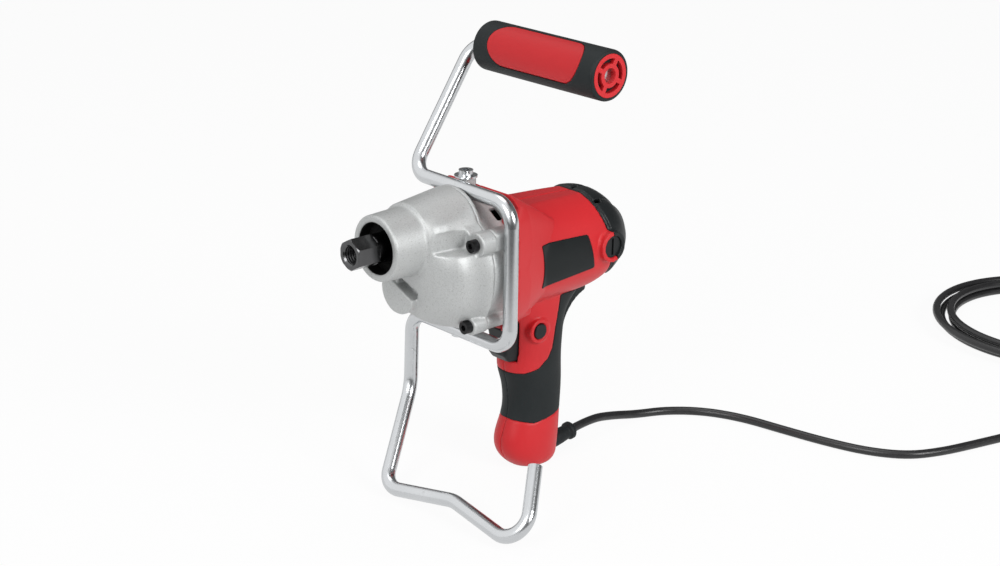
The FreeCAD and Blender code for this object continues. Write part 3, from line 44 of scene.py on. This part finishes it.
# Studio: a pale sheet under the tool, a white surround and large soft lamps, with the camera
# at the photograph's height and angle.
class Wire:
    """A socket in a finish; arithmetic on it adds Math nodes."""

    def __init__(self, finish, socket):
        self.finish = finish
        self.socket = socket

    def maths(self, operation, first, second):
        return self.finish.add("Math", {"operation": operation}, {0: first, 1: second})

    def __add__(self, other):
        return self.maths("ADD", self, other)

    def __radd__(self, other):
        return self.maths("ADD", other, self)

    def __sub__(self, other):
        return self.maths("SUBTRACT", self, other)

    def __rsub__(self, other):
        return self.maths("SUBTRACT", other, self)

    def __mul__(self, other):
        return self.maths("MULTIPLY", self, other)

    def __rmul__(self, other):
        return self.maths("MULTIPLY", other, self)


class Finish:
    """A material whose nodes are added by type, with settings first and sockets after."""

    def __init__(self, name, owner=None):
        self.material = owner or bpy.data.materials.new(name)
        self.material.use_nodes = True
        self.tree = self.material.node_tree
        self.shader = self.tree.nodes.get("Principled BSDF")

    def add(self, kind, settings=None, sockets=None, output=0):
        node = self.tree.nodes.new("ShaderNode" + kind)
        for key, value in (settings or {}).items():
            setattr(node, key, value)
        self.feed(node, sockets or {})
        return Wire(self, node.outputs[output])

    def feed(self, node, sockets):
        for key, value in sockets.items():
            if isinstance(value, Wire):
                self.tree.links.new(value.socket, node.inputs[key])
            else:
                node.inputs[key].default_value = value

    def surface(self, **sockets):
        self.feed(self.shader, {key.replace("_", " "): value for key, value in sockets.items()})

    def rays(self, *kinds):
        return [self.add("LightPath", output="Is " + kind + " Ray") for kind in kinds]

    def place(self, stretch=(1, 1, 1)):
        spot = self.add("TexCoord", output="Object")
        return self.add("Mapping", None, {"Vector": spot, "Scale": stretch})

    def facing(self, spot, direction):
        return self.add("VectorMath", {"operation": "DOT_PRODUCT"}, {0: spot, 1: direction}, output="Value")

    def grain(self, scale, detail=2.0, stretch=(1, 1, 1)):
        return self.add("TexNoise", None, {"Vector": self.place(stretch), "Scale": scale, "Detail": detail})

    def step(self, value, low, high):
        return self.add("MapRange", {"interpolation_type": "SMOOTHSTEP"},
                        {"Value": value, "From Min": low, "From Max": high})

    def tint(self, mask, dark, light):
        # Sockets 6 and 7 of a colour Mix are its two colours, and output 2 is the mixed one.
        return self.add("Mix", {"data_type": "RGBA"}, {0: mask, 6: colour(dark), 7: colour(light)}, output=2)

    def soft_edge(self, radius):
        return self.add("Bevel", {"samples": 4}, {"Radius": radius})

    def bump(self, height, strength, distance, under=None):
        sockets = {"Height": height, "Strength": strength, "Distance": distance}
        if under:
            sockets["Normal"] = under
        return self.add("Bump", None, sockets)


def colour(value):
    return value if isinstance(value, Wire) else (*value, 1)


def made(name, shape, smooth=False):
    if smooth:
        for face in shape.faces:
            face.smooth = True
    mesh = bpy.data.meshes.new(name)
    shape.to_mesh(mesh)
    shape.free()
    piece = bpy.data.objects.new(name, mesh)
    scene.collection.objects.link(piece)
    return piece


floor_z = -0.191
paper_gap = 0.0003
paper_half = 6.0
sheet = bmesh.new()
bmesh.ops.create_grid(sheet, x_segments=1, y_segments=1, size=paper_half,
                      matrix=Matrix.Translation((0, 0, floor_z - paper_gap)))
floor = made("floor", sheet)

# The paper is white to the lens; in reflections it darkens towards its near edge.
camera_side = (0.735, -0.678, 0.0)
paper_glow = 0.93
paper = Finish("studio_paper")
seen, mirrored, through = paper.rays("Camera", "Glossy", "Transmission")
near_edge = paper.step(paper.facing(paper.place(), camera_side), 0.28, 0.50)
paper.surface(Base_Color=(0.86, 0.86, 0.86, 1), Roughness=0.9, Specular_IOR_Level=0.0)
shade = mirrored * (0.12 + near_edge * 0.78)
glow = paper.add("Emission", None, {"Color": paper.tint(shade, (1, 1, 1), (0, 0, 0)), "Strength": 1.0})
sheet_look = paper.add("MixShader", None, {
    0: seen * paper_glow + mirrored + through * paper_glow,
    1: Wire(paper, paper.shader.outputs[0]),
    2: glow,
})
paper.feed(paper.tree.nodes["Material Output"], {"Surface": sheet_look})
floor.data.materials.append(paper.material)

# The surround is white to the lens, and in reflections it is dim with one bright soft box.
softbox_side = (-0.33, -0.67, 0.67)
ambient = 0.42
world = bpy.data.worlds.new("studio")
scene.world = world
surround = Finish("studio", world)
seen, mirrored, through = surround.rays("Camera", "Glossy", "Transmission")
softbox = surround.facing(surround.add("TexCoord", output="Generated"), softbox_side)
backdrop = seen + through + mirrored * (0.16 + surround.step(softbox, 0.2, 0.75) * 0.9)
surround.feed(world.node_tree.nodes["Background"], {
    "Color": (1, 1, 1, 1),
    "Strength": backdrop + (1 - seen - through - mirrored) * ambient,
})


def lamp(name, place, aim, size, power):
    light = bpy.data.lights.new(name, "AREA")
    light.shape = "DISK"
    light.size = size
    light.energy = power
    holder = bpy.data.objects.new(name, light)
    holder.location = place
    holder.rotation_euler = (Vector(aim) - Vector(place)).to_track_quat("-Z", "Y").to_euler()
    scene.collection.objects.link(holder)


lamp("key_lamp", (0.55, -1.5, 0.95), (0, 0.1, -0.02), size=0.9, power=15)
lamp("side_lamp", (1.75, 0.35, 0.75), (0, 0.1, -0.02), size=0.9, power=22)
lamp("top_lamp", (-0.3, 0.3, 1.7), (0, 0.15, 0), size=1.2, power=5)

camera_turn = math.radians(47.31)
camera_rise = math.radians(19.64)
camera_roll = math.radians(0.85)
view_back = Vector((math.sin(camera_turn) * math.cos(camera_rise),
                    -math.cos(camera_turn) * math.cos(camera_rise),
                    math.sin(camera_rise)))
lens = bpy.data.cameras.new("camera")
lens.sensor_width = 36.0
lens.lens = 72.0
lens.clip_end = 50.0
camera = bpy.data.objects.new("camera", lens)
camera.rotation_mode = "QUATERNION"
camera.location = (0.9595, -0.7532, 0.4168)
camera.rotation_quaternion = (-view_back).to_track_quat("-Z", "Y") @ Quaternion((0, 0, 1), camera_roll)
scene.collection.objects.link(camera)
scene.camera = camera


# Gear housing and middle housing: two silver-painted aluminium castings, with every edge soft
# from the mould. The front one has a channel behind its chin and a pocket for the upper screw,
# and the rim of the other steps in where the red flange goes over it.
def copied(name, source):
    shape = bmesh.new()
    shape.from_mesh(nodes[source].data)
    bmesh.ops.remove_doubles(shape, verts=shape.verts, dist=0.00001)
    return made(name, shape)


def applied(piece):
    worked = piece.evaluated_get(bpy.context.evaluated_depsgraph_get())
    piece.data = bpy.data.meshes.new_from_object(worked)
    piece.modifiers.clear()
    return piece


def carved(piece, tool):
    bmesh.ops.recalc_face_normals(tool, faces=tool.faces[:])
    cutter = made("cutter", tool)
    cut = piece.modifiers.new("cut", "BOOLEAN")
    cut.operation = "DIFFERENCE"
    cut.solver = "EXACT"
    cut.object = cutter
    applied(piece)
    bpy.data.objects.remove(cutter)
    return piece


def softened(piece, voxel, rounds):
    remesh = piece.modifiers.new("even_skin", "REMESH")
    remesh.mode = "VOXEL"
    remesh.voxel_size = voxel
    remesh.use_smooth_shade = True
    rounding = piece.modifiers.new("rounding", "SMOOTH")
    rounding.factor = 0.5
    rounding.iterations = rounds
    return applied(piece)


def prism(corners, along):
    shape = bmesh.new()
    end = shape.faces.new([shape.verts.new(corner) for corner in corners])
    pulled = bmesh.ops.extrude_face_region(shape, geom=[end])["geom"]
    far = [item for item in pulled if isinstance(item, bmesh.types.BMVert)]
    bmesh.ops.translate(shape, vec=along, verts=far)
    return shape


def part_way(value, start, end):
    return min(max((value - start) / (end - start), 0), 1)


def eased(share):
    return share * share * (3 - 2 * share)


def dress(piece, body, slot, finish, *replaced):
    piece.data.materials.clear()
    piece.data.materials.append(finish)
    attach(piece, body)
    if replaced:
        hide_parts(*replaced)


cast = Finish("silver_casting")
sand = cast.grain(1500.0, 3.0)
pores = cast.step(cast.grain(950.0, 4.0), 0.60, 0.70)
cloud = cast.grain(45.0, 3.0)
silver = cast.tint(cloud, (0.48, 0.492, 0.49), (0.57, 0.582, 0.58))
speckled = cast.tint(cast.step(sand, 0.30, 0.62), (0.44, 0.45, 0.448), silver)
cast.surface(Base_Color=cast.tint(pores, speckled, (0.36, 0.365, 0.36)),
             Metallic=0.5, Roughness=0.40 + sand * 0.18 + pores * 0.2,
             Normal=cast.bump(sand - pores * 0.8, 0.25, 0.0004))

cast_voxel, cast_rounds = 0.0008, 3
gear_case = copied("gear_case", "gear_housing")
channel_front, channel_depth = 0.040, 0.014
chin_channel = [(-0.009, channel_front, -0.0322), (0.008, channel_front, -0.0398),
                (0.0108, channel_front, -0.0336), (-0.0062, channel_front, -0.0260)]
carved(gear_case, prism(chin_channel, (0, channel_depth, 0)))
pocket_front, pocket_back, pocket_side = 0.0465, 0.0720, 0.050
pocket_low, pocket_height = -0.0036, 0.0140
screw_pocket = [(0.0255, pocket_front, pocket_low), (0.0285, pocket_back, pocket_low),
                (pocket_side, pocket_back, pocket_low), (pocket_side, pocket_front, pocket_low)]
carved(gear_case, prism(screw_pocket, (0, 0, pocket_height)))
softened(gear_case, cast_voxel, cast_rounds)

# The crown is drawn in to a straight cone, which fades out towards the sides.
crown_start, crown_end, crown_radius, crown_slope = 0.044, 0.086, 0.0252, 0.115
crown_lean, side_lean = 36, 62
for vert in gear_case.data.vertices:
    reach = math.hypot(vert.co.x, vert.co.z)
    limit = crown_radius + (vert.co.y - crown_start) * crown_slope
    if crown_start < vert.co.y < crown_end and vert.co.z > 0 and reach > limit:
        lean = math.degrees(math.atan2(abs(vert.co.x), vert.co.z))
        kept = eased(part_way(lean, crown_lean, side_lean))
        pull = (limit + (reach - limit) * kept) / reach
        vert.co.x *= pull
        vert.co.z *= pull
dress(gear_case, "housing", "cast_aluminium", cast.material, "gear_housing")

middle_case = softened(copied("middle_case", "middle_housing"), cast_voxel, cast_rounds)
rim_front, rim_back = 0.1045, 0.1055
rim_top, rim_full = 0.0155, 0.0095
rim_draw = 0.03
for vert in middle_case.data.vertices:
    under = part_way(vert.co.y, rim_front, rim_back) * part_way(vert.co.z, rim_top, rim_full)
    vert.co.x *= 1 - rim_draw * under
dress(middle_case, "housing", "cast_aluminium", cast.material, "middle_housing")


# Screws: black oxide steel. Four socket screws run through both castings into the motor
# housing, and others hold its shells together and the rear cover on.
def coat(finish, *names):
    for name in names:
        nodes[name].data.materials.clear()
        nodes[name].data.materials.append(finish)


blacked = Finish("black_oxide_steel")
oil = blacked.grain(220.0, 3.0)
fine = blacked.grain(2600.0)
blacked.surface(Base_Color=blacked.tint(oil, (0.010, 0.010, 0.011), (0.022, 0.022, 0.023)),
                Metallic=0.7, Roughness=0.22 + oil * 0.2, Normal=blacked.bump(fine, 0.08, 0.0002))
coat(blacked.material, "gearcase_screws", "housing_screws", "rear_cover_screws")


# Spindle: a blacked and polished hexagon with a tapped bore. The mouth of the bore is turned
# out to a wide countersink, and the thread is a vee ridge wound inside it.
spindle_steel = Finish("spindle_steel")
oil = spindle_steel.grain(160.0, 3.0)
turning = spindle_steel.grain(900.0, 2.0, (0.2, 3, 0.2))
spindle_steel.surface(Base_Color=spindle_steel.tint(oil, (0.09, 0.09, 0.092), (0.13, 0.13, 0.133)),
                      Metallic=1.0, Roughness=0.17 + oil * 0.12,
                      Normal=spindle_steel.bump(turning, 0.04, 0.0002, spindle_steel.soft_edge(0.0005)))
mouth_radius, mouth_floor, mouth_depth, mouth_middle = 0.0082, 0.0060, 0.0022, 0.0001
sharp_angle = math.radians(28)
facing_front = Matrix.Rotation(math.radians(-90), 4, "X")
mouth = bmesh.new()
bmesh.ops.create_cone(mouth, cap_ends=True, segments=64, radius1=mouth_radius, radius2=mouth_floor,
                      depth=mouth_depth, matrix=Matrix.Translation((0, mouth_middle, 0)) @ facing_front)
spindle_end = carved(copied("spindle_end", "spindle"), mouth)
shading = bmesh.new()
shading.from_mesh(spindle_end.data)
for face in shading.faces:
    face.smooth = True
for edge in shading.edges:
    edge.smooth = len(edge.link_faces) == 2 and edge.calc_face_angle() < sharp_angle
shading.to_mesh(spindle_end.data)
shading.free()
dress(spindle_end, "spindle", "black_steel", spindle_steel.material, "spindle")


def outlined(places, closed=False):
    shape = bmesh.new()
    corners = [shape.verts.new(place) for place in places]
    ends = corners[1:] + corners[:1] if closed else corners[1:]
    for a, b in zip(corners, ends):
        shape.edges.new((a, b))
    return shape


thread_pitch, thread_turns, turn_steps = 0.002, 10, 24
thread_root, thread_crest = 0.00605, 0.0052
thread_start, flank = 0.0013, 0.0009
ridge = outlined([(thread_root, thread_start, 0), (thread_crest, thread_start + flank, 0),
                  (thread_root, thread_start + 2 * flank, 0)])
bmesh.ops.spin(ridge, geom=ridge.verts[:] + ridge.edges[:], cent=(0, 0, 0), axis=(0, 1, 0),
               dvec=(0, thread_pitch / turn_steps, 0), angle=2 * math.pi * thread_turns,
               steps=turn_steps * thread_turns)
bmesh.ops.recalc_face_normals(ridge, faces=ridge.faces[:])
thread = made("spindle_thread", ridge, smooth=True)
worn = Finish("cut_thread")
oil = worn.grain(500.0, 3.0)
worn.surface(Base_Color=worn.tint(oil, (0.05, 0.05, 0.052), (0.12, 0.12, 0.125)), Metallic=0.9,
             Roughness=0.25 + oil * 0.25)
dress(thread, "spindle", "black_steel", worn.material)


# Gear train and bearings: ground steel gears, shafts, keys and ball bearings, oiled, with a
# bronze bush and a rubber lip seal. The seal shows in the snout, and the rest sits inside the
# castings. The seal's black rubber is darkened further as painted shade for the deep snout, and
# the snout's bore is lined with a black sheet of painted shade.
ground = Finish("ground_steel")
rub = ground.grain(700.0, 3.0, (1, 4, 1))
stain = ground.grain(60.0, 3.0)
ground.surface(Base_Color=ground.tint(stain, (0.36, 0.36, 0.37), (0.52, 0.52, 0.53)), Metallic=1.0,
               Roughness=0.22 + rub * 0.2, Normal=ground.bump(rub, 0.06, 0.0002))
coat(ground.material, "output_gear", "spindle_key", "gear_retaining_ring", "layshaft", "layshaft_gear",
     "spindle_front_bearing", "spindle_rear_bearing", "layshaft_rear_bearing", "motor_front_bearing",
     "motor_rear_bearing", "armature_shaft", "brush_springs", "cord_clamp_screws")
bronze = Finish("bronze")
stain = bronze.grain(120.0, 4.0)
bronze.surface(Base_Color=bronze.tint(stain, (0.42, 0.24, 0.08), (0.62, 0.40, 0.15)), Metallic=1.0,
               Roughness=0.3 + stain * 0.2)
coat(bronze.material, "layshaft_front_bush", "brush_holders", "plug_pins")
# The seal is black rubber, and its colour is darkened well below the other rubber as painted shade for the
# deep snout it sits in.
shaded_seal_rubber = Finish("shaded_seal_rubber")
dust = shaded_seal_rubber.grain(400.0, 3.0)
shaded_seal_rubber.surface(Base_Color=shaded_seal_rubber.tint(dust, (0.003, 0.003, 0.003), (0.007, 0.007, 0.007)),
                    Roughness=0.6 + dust * 0.2, Specular_IOR_Level=0.15,
                    Normal=shaded_seal_rubber.bump(dust, 0.15, 0.0003))
coat(shaded_seal_rubber.material, "cord_lead")


def spun(name, profile):
    ring = outlined([(radius, y, 0) for radius, y in profile], closed=True)
    bmesh.ops.spin(ring, geom=ring.verts[:] + ring.edges[:], cent=(0, 0, 0), axis=(0, 1, 0),
                   angle=2 * math.pi, steps=72, use_merge=True)
    bmesh.ops.recalc_face_normals(ring, faces=ring.faces[:])
    return made(name, ring)


seal_inner, seal_outer, seal_back = 0.0104, 0.0175, 0.0348
seal_profile = [(seal_inner, 0.0304), (0.0112, 0.0301), (0.0126, 0.0311), (0.0140, 0.0303),
                (0.0172, 0.0302), (seal_outer, 0.0306), (seal_outer, seal_back), (seal_inner, seal_back)]
lip_seal = spun("lip_seal", seal_profile)
dress(lip_seal, "housing", "rubber", shaded_seal_rubber.material, "spindle_seal")
# A black lining on the snout's bore is painted shade: the bore wall is drawn black where it only lies in
# shade.
bore_shade_face, bore_shade_back, bore_shade_end = 0.01715, 0.0176, 0.0301
bore_shade_lining = spun("bore_shade_lining", [(bore_shade_face, 0.0222), (bore_shade_back, 0.0217), (bore_shade_back, bore_shade_end),
                                 (bore_shade_face, bore_shade_end)])
dress(bore_shade_lining, "housing", "rubber", shaded_seal_rubber.material)


# Motor inside the housing: an armature and a field of stacked steel sheets, wound with
# enamelled copper, and pressed carbon brushes that rub on the copper commutator.
laminated = Finish("laminated_steel")
sheets = laminated.add("TexWave", {"bands_direction": "Y"},
                       {"Vector": laminated.place(), "Scale": 320.0, "Distortion": 0.2})
laminated.surface(Base_Color=laminated.tint(sheets, (0.12, 0.12, 0.13), (0.32, 0.32, 0.33)), Metallic=0.9,
                  Roughness=0.35 + sheets * 0.2, Normal=laminated.bump(sheets, 0.2, 0.0003))
coat(laminated.material, "armature_core", "field_core")
copper = Finish("enamelled_copper")
strands = copper.grain(1400.0, 2.0, (1, 0.3, 1))
copper.surface(Base_Color=copper.tint(strands, (0.22, 0.06, 0.025), (0.52, 0.20, 0.09)), Metallic=0.8,
               Roughness=0.28 + strands * 0.2, Normal=copper.bump(strands, 0.4, 0.0005))
coat(copper.material, "armature_windings", "commutator", "field_coils")
carbon = Finish("pressed_carbon")
dust = carbon.grain(900.0, 3.0)
carbon.surface(Base_Color=carbon.tint(dust, (0.014, 0.014, 0.015), (0.04, 0.04, 0.042)),
               Roughness=0.5 + dust * 0.2)
coat(carbon.material, "carbon_brushes")


# Handle rod: one round steel bar, bent cold into the top handle, the loop round the middle
# casting and the foot, then zinc plated. Two washers and socket screws clamp it.
zinc = Finish("zinc_plate")
drawn = zinc.grain(420.0, 3.0)
stain = zinc.grain(38.0, 4.0)
scuff = zinc.step(zinc.grain(170.0, 6.0), 0.66, 0.76)
plated = zinc.tint(stain, (0.58, 0.595, 0.61), (0.68, 0.695, 0.71))
zinc.surface(Base_Color=zinc.tint(scuff, plated, (0.50, 0.51, 0.52)), Metallic=1.0,
             Roughness=0.19 + drawn * 0.08 + scuff * 0.10, Normal=zinc.bump(drawn, 0.010, 0.0003))
coat(zinc.material, "handle_rod", "rod_clamp_washers", "rod_clamp_screws")


# Side grip on the top of the rod: a red moulded core with an oval panel on each side and a
# slotted end disc, in a soft black sleeve that leaves the panels bare. Behind the slots sits a
# black ring of painted shade, darkening them where they would only be shaded.
red = Finish("red_moulding")
spark = red.grain(3200.0, 2.0)
flow = red.grain(30.0, 3.0)
red.surface(Base_Color=red.tint(flow, (0.52, 0.014, 0.019), (0.57, 0.017, 0.022)), Specular_IOR_Level=0.35,
            Roughness=0.38 + spark * 0.1, Normal=red.bump(spark, 0.10, 0.0002, red.soft_edge(0.0006)))
coat(red.material, "handle_core")

rubber = Finish("soft_rubber")
tooth = rubber.grain(1900.0, 3.0)
dusty = rubber.grain(55.0, 4.0)
rubber.surface(Base_Color=rubber.tint(dusty, (0.008, 0.011, 0.012), (0.014, 0.018, 0.019)),
               Specular_IOR_Level=0.25, Roughness=0.50 + dusty * 0.14,
               Normal=rubber.bump(tooth, 0.28, 0.0003))
rubber_voxel = 0.0006
sleeve = softened(copied("grip_sleeve", "handle_rubber"), rubber_voxel, 4)
dress(sleeve, "housing", "rubber", rubber.material, "handle_rubber")

# The black ring behind the end disc's slots is painted shade: a dark sheet set where the slots are only in
# shade.
slot_inner, slot_outer = 0.0081, 0.0113
slot_shade_near, slot_shade_far = 0.0751, 0.0775
grip_middle = (0, 0.1511, 0.1103)
slot_shade_ring = spun("slot_shade_ring", [(slot_inner, slot_shade_near), (slot_outer, slot_shade_near),
                                     (slot_outer, slot_shade_far), (slot_inner, slot_shade_far)])
slot_shade_ring.data.transform(Matrix.Translation(grip_middle) @ Matrix.Rotation(-math.pi / 2, 4, "Z"))
dress(slot_shade_ring, "housing", "rubber", rubber.material)


# Motor housing: two red moulded shells that meet on the middle plane, screwed to the castings
# in front and to each other from the far side. Their front flange goes over the casting's
# rim, and the neck is open where the trigger slides in.
way_half, way_front, way_back = 0.0102, 0.128, 0.146
way_low, way_height = -0.1072, 0.0310
trigger_way = [(-way_half, way_front, way_low), (way_half, way_front, way_low),
               (way_half, way_back, way_low), (-way_half, way_back, way_low)]
flange_front, flare_back, flange_overlap, flange_spread = 0.1105, 0.1215, 0.0066, 0.024
flange_middle, flange_inner, flange_side = -0.024, 0.0435, 0.03
flange_top, flange_full = 0.0185, 0.0125


def shell(name, source):
    piece = copied(name, source)
    carved(piece, prism(trigger_way, (0, 0, way_height)))
    softened(piece, 0.00085, 7)
    for vert in piece.data.vertices:
        reach = math.hypot(vert.co.x, vert.co.z - flange_middle)
        if vert.co.y < flare_back and reach > flange_inner and abs(vert.co.x) > flange_side:
            share = part_way(vert.co.y, flare_back, flange_front)
            share *= part_way(vert.co.z, flange_top, flange_full)
            vert.co.x *= 1 + flange_spread * share
            vert.co.y -= flange_overlap * share
    return piece


shells = {}
for side in ("left", "right"):
    shells[side] = shell("shell_" + side, "housing_" + side)
    dress(shells[side], "housing", "red_plastic", red.material, "housing_" + side)


# Side plates: a bare black plate stuck on each side of the barrel, bent to its curve, with
# its front edge hollowed along the flare and its corners rounded.
corner_long, corner_high = 0.035, 0.0595
top_front, top_back = Vector((0.1347, -0.0130)), Vector((0.1820, -0.0155))
low_front, low_back = Vector((0.1377, -0.0453)), Vector((0.1896, -0.0414))
front_hollow, plate_gap, plate_thickness = 0.0030, 0.0005, 0.0009
outside = 0.09


def side_plate(name, outward, backing):
    wall = bmesh.new()
    wall.from_mesh(backing.data)
    tree = BVHTree.FromBMesh(wall)
    wall.free()
    plate = bmesh.new()
    bmesh.ops.create_grid(plate, x_segments=56, y_segments=40, size=0.5)
    for sx in (-1, 1):
        for sy in (-1, 1):
            bend = Vector((sx * (0.5 - corner_long), sy * (0.5 - corner_high), 0))
            for turn in (22.5, 45.0, 67.5):
                along = sx * math.cos(math.radians(turn))
                up = sy * math.sin(math.radians(turn))
                bmesh.ops.bisect_plane(plate, geom=plate.verts[:] + plate.edges[:] + plate.faces[:],
                                       plane_co=bend + Vector((corner_long * along, corner_high * up, 0)),
                                       plane_no=(along, up, 0), clear_outer=True)
    for vert in plate.verts:
        u, v = vert.co.x + 0.5, vert.co.y + 0.5
        spot = low_front.lerp(low_back, u).lerp(top_front.lerp(top_back, u), v)
        spot.x += front_hollow * (1 - u) * 4 * v * (1 - v)
        hit = tree.ray_cast(Vector((outward * outside, spot.x, spot.y)), Vector((-outward, 0, 0)))[0]
        vert.co = hit + Vector((outward * plate_gap, 0, 0))
    for smoothing in range(4):
        bmesh.ops.smooth_vert(plate, verts=plate.verts[:], factor=0.4, use_axis_x=True)
    bmesh.ops.recalc_face_normals(plate, faces=plate.faces[:])
    if (plate.faces[:][0].normal.x > 0) != (outward > 0):
        bmesh.ops.reverse_faces(plate, faces=plate.faces[:])
    bmesh.ops.solidify(plate, geom=plate.faces[:], thickness=plate_thickness)
    return made(name, plate, smooth=True)


plate_black = Finish("plate_black")
spark = plate_black.grain(2600.0, 2.0)
haze = plate_black.grain(70.0, 3.0)
plate_black.surface(Base_Color=plate_black.tint(haze, (0.006, 0.008, 0.0085), (0.010, 0.013, 0.0135)),
                    Specular_IOR_Level=0.2, Roughness=0.34 + haze * 0.12,
                    Normal=plate_black.bump(spark, 0.08, 0.0002))
for side, outward in (("left", 1), ("right", -1)):
    plate = side_plate("side_plate_" + side, outward, shells[side])
    dress(plate, "housing", "black_plastic", plate_black.material)


# Grip cover: soft black rubber moulded over the back of the neck, the tang and the middle of
# the grip, split on the middle plane with the shells.
for side in ("left", "right"):
    cover = softened(copied("grip_cover_" + side, "grip_rubber_" + side), rubber_voxel, 3)
    dress(cover, "housing", "rubber", rubber.material, "grip_rubber_" + side)


# Rear cover: a black moulded cap over the brush gear with raised petals and air slots, held
# by four screws. The screwed caps of the brush holders sit in the round seats at its sides,
# and the fan, its baffle, the switch and the cord clamp inside are of the same plastic.
black = Finish("black_moulding")
spark = black.grain(2800.0, 2.0)
haze = black.grain(60.0, 3.0)
black.surface(Base_Color=black.tint(haze, (0.007, 0.009, 0.010), (0.012, 0.014, 0.015)),
              Specular_IOR_Level=0.3, Roughness=0.34 + spark * 0.12,
              Normal=black.bump(spark, 0.10, 0.0002, black.soft_edge(0.0005)))
cap = softened(copied("rear_cap", "rear_cover"), 0.0007, 3)
dress(cap, "housing", "black_plastic", black.material, "rear_cover")
coat(black.material, "brush_caps", "fan", "fan_baffle", "cord_clamp", "switch_body")


# Trigger and lock button: moulded in the same black plastic. The trigger slides into the
# neck against its spring, and the button presses in on the left side.
trigger_pad = softened(copied("trigger_pad", "trigger"), 0.0005, 8)
dress(trigger_pad, "trigger", "black_plastic", black.material, "trigger")
coat(black.material, "lock_button")


# Mains lead: a round black cord of about three metres, moulded into the plug. It runs along
# the floor behind the tool and lies there in a loose coil of four turns in two layers.
cord_radius = 0.00315
lying = floor_z + cord_radius
lead_points = [
    (0, 0.20567, -0.18057), (0, 0.22547, -0.17778), (-0.001, 0.249, -0.182), (0.001, 0.273, lying + 0.0005),
    (0.01, 0.297, lying), (0.03, 0.318, lying), (0.058, 0.331, lying), (0.092, 0.337, lying),
    (0.127, 0.344, lying), (0.159, 0.354, lying), (0.183, 0.371, lying), (0.195, 0.396, lying),
    (0.203, 0.426, lying), (0.212, 0.462, lying), (0.22, 0.506, lying), (0.222, 0.556, lying),
    (0.216, 0.604, lying), (0.205, 0.648, lying), (0.205, 0.6837, lying),
]
coil_centre = Vector((0.102, 0.690, 0))
coil_radius, coil_turns, turn_points = 0.103, 4, 24
turn_step, layer_step = 0.009, 0.007
climb_start, climb_end = 1.75, 2.25
tail_spread, tail_turn = 0.026, 0.75
for k in range(coil_turns * turn_points + 1):
    turns = k / turn_points
    inward = min(turns, coil_turns - turns)
    leave = max(turns - coil_turns + tail_turn, 0.0)
    radius = coil_radius - turn_step * inward + tail_spread * leave * leave
    radius /= math.cos(math.pi / turn_points)
    height = lying + layer_step * eased(part_way(turns, climb_start, climb_end))
    angle = 2 * math.pi * turns
    out = Vector((math.cos(angle), math.sin(angle), 0)) * radius
    lead_points.append((coil_centre.x + out.x, coil_centre.y + out.y, height))
tail_radius = coil_radius + tail_spread * tail_turn * tail_turn
plug_way = Vector((2 * tail_spread * tail_turn, 2 * math.pi * tail_radius, 0)).normalized()
plug_run = 2 * cord_radius + 0.0004
tail_end = Vector((coil_centre.x + tail_radius, coil_centre.y, height))
lead_points[-1] = tail_end[:]
lead_points.append((tail_end + plug_way * plug_run)[:])

lead_curve = bpy.data.curves.new("cord_lead_curve", "CURVE")
lead_curve.dimensions = "3D"
lead_curve.bevel_depth = cord_radius
lead_curve.bevel_resolution = 6
lead_curve.use_fill_caps = True
lead_line = lead_curve.splines.new("NURBS")
lead_line.points.add(len(lead_points) - 1)
for point, place in zip(lead_line.points, lead_points):
    point.co = (*place, 1)
lead_line.order_u = 3
lead_line.use_endpoint_u = True
lead_line.resolution_u = 6
cord = bpy.data.objects.new("mains_lead", lead_curve)
scene.collection.objects.link(cord)

sheath = Finish("cord_sheath")
streak = sheath.grain(160.0)
fine = sheath.grain(2600.0)
sheath.surface(Base_Color=sheath.tint(streak, (0.010, 0.010, 0.011), (0.018, 0.018, 0.019)),
               Roughness=0.26 + streak * 0.14, Normal=sheath.bump(fine, 0.06, 0.0002))
dress(cord, "housing", "rubber", sheath.material, "cord", "cord_coil")
coat(sheath.material, "plug")


# Cord guard: a rubber sleeve moulded on the lead, thickest near the grip and tapered to a
# bead at its outer end. The profile gives its radius along the lead.
guard_base = Vector((0, 0.172, -0.1853))
guard_rise = math.radians(8)
guard_way = Vector((0, math.cos(guard_rise), math.sin(guard_rise)))
guard_profile = [(0.0, 0.0), (0.0052, 0.0), (0.0056, 0.0110), (0.0061, 0.0150), (0.0059, 0.0210),
                 (0.0054, 0.0270), (0.0052, 0.0287), (0.0060, 0.0292), (0.0066, 0.0300), (0.0066, 0.0328),
                 (0.0058, 0.0338), (0.0034, 0.0340)]
boot = outlined([(radius, 0, along) for radius, along in guard_profile])
bmesh.ops.spin(boot, geom=boot.verts[:] + boot.edges[:], cent=(0, 0, 0), axis=(0, 0, 1), angle=2 * math.pi,
               steps=40, use_merge=True)
bmesh.ops.remove_doubles(boot, verts=boot.verts[:], dist=0.000001)
bmesh.ops.recalc_face_normals(boot, faces=boot.faces[:])
along_lead = Vector((0, 0, 1)).rotation_difference(guard_way).to_matrix().to_4x4()
bmesh.ops.transform(boot, matrix=Matrix.Translation(guard_base) @ along_lead, verts=boot.verts[:])
cord_boot = made("cord_boot", boot, smooth=True)
dress(cord_boot, "housing", "rubber", rubber.material, "cord_guard")
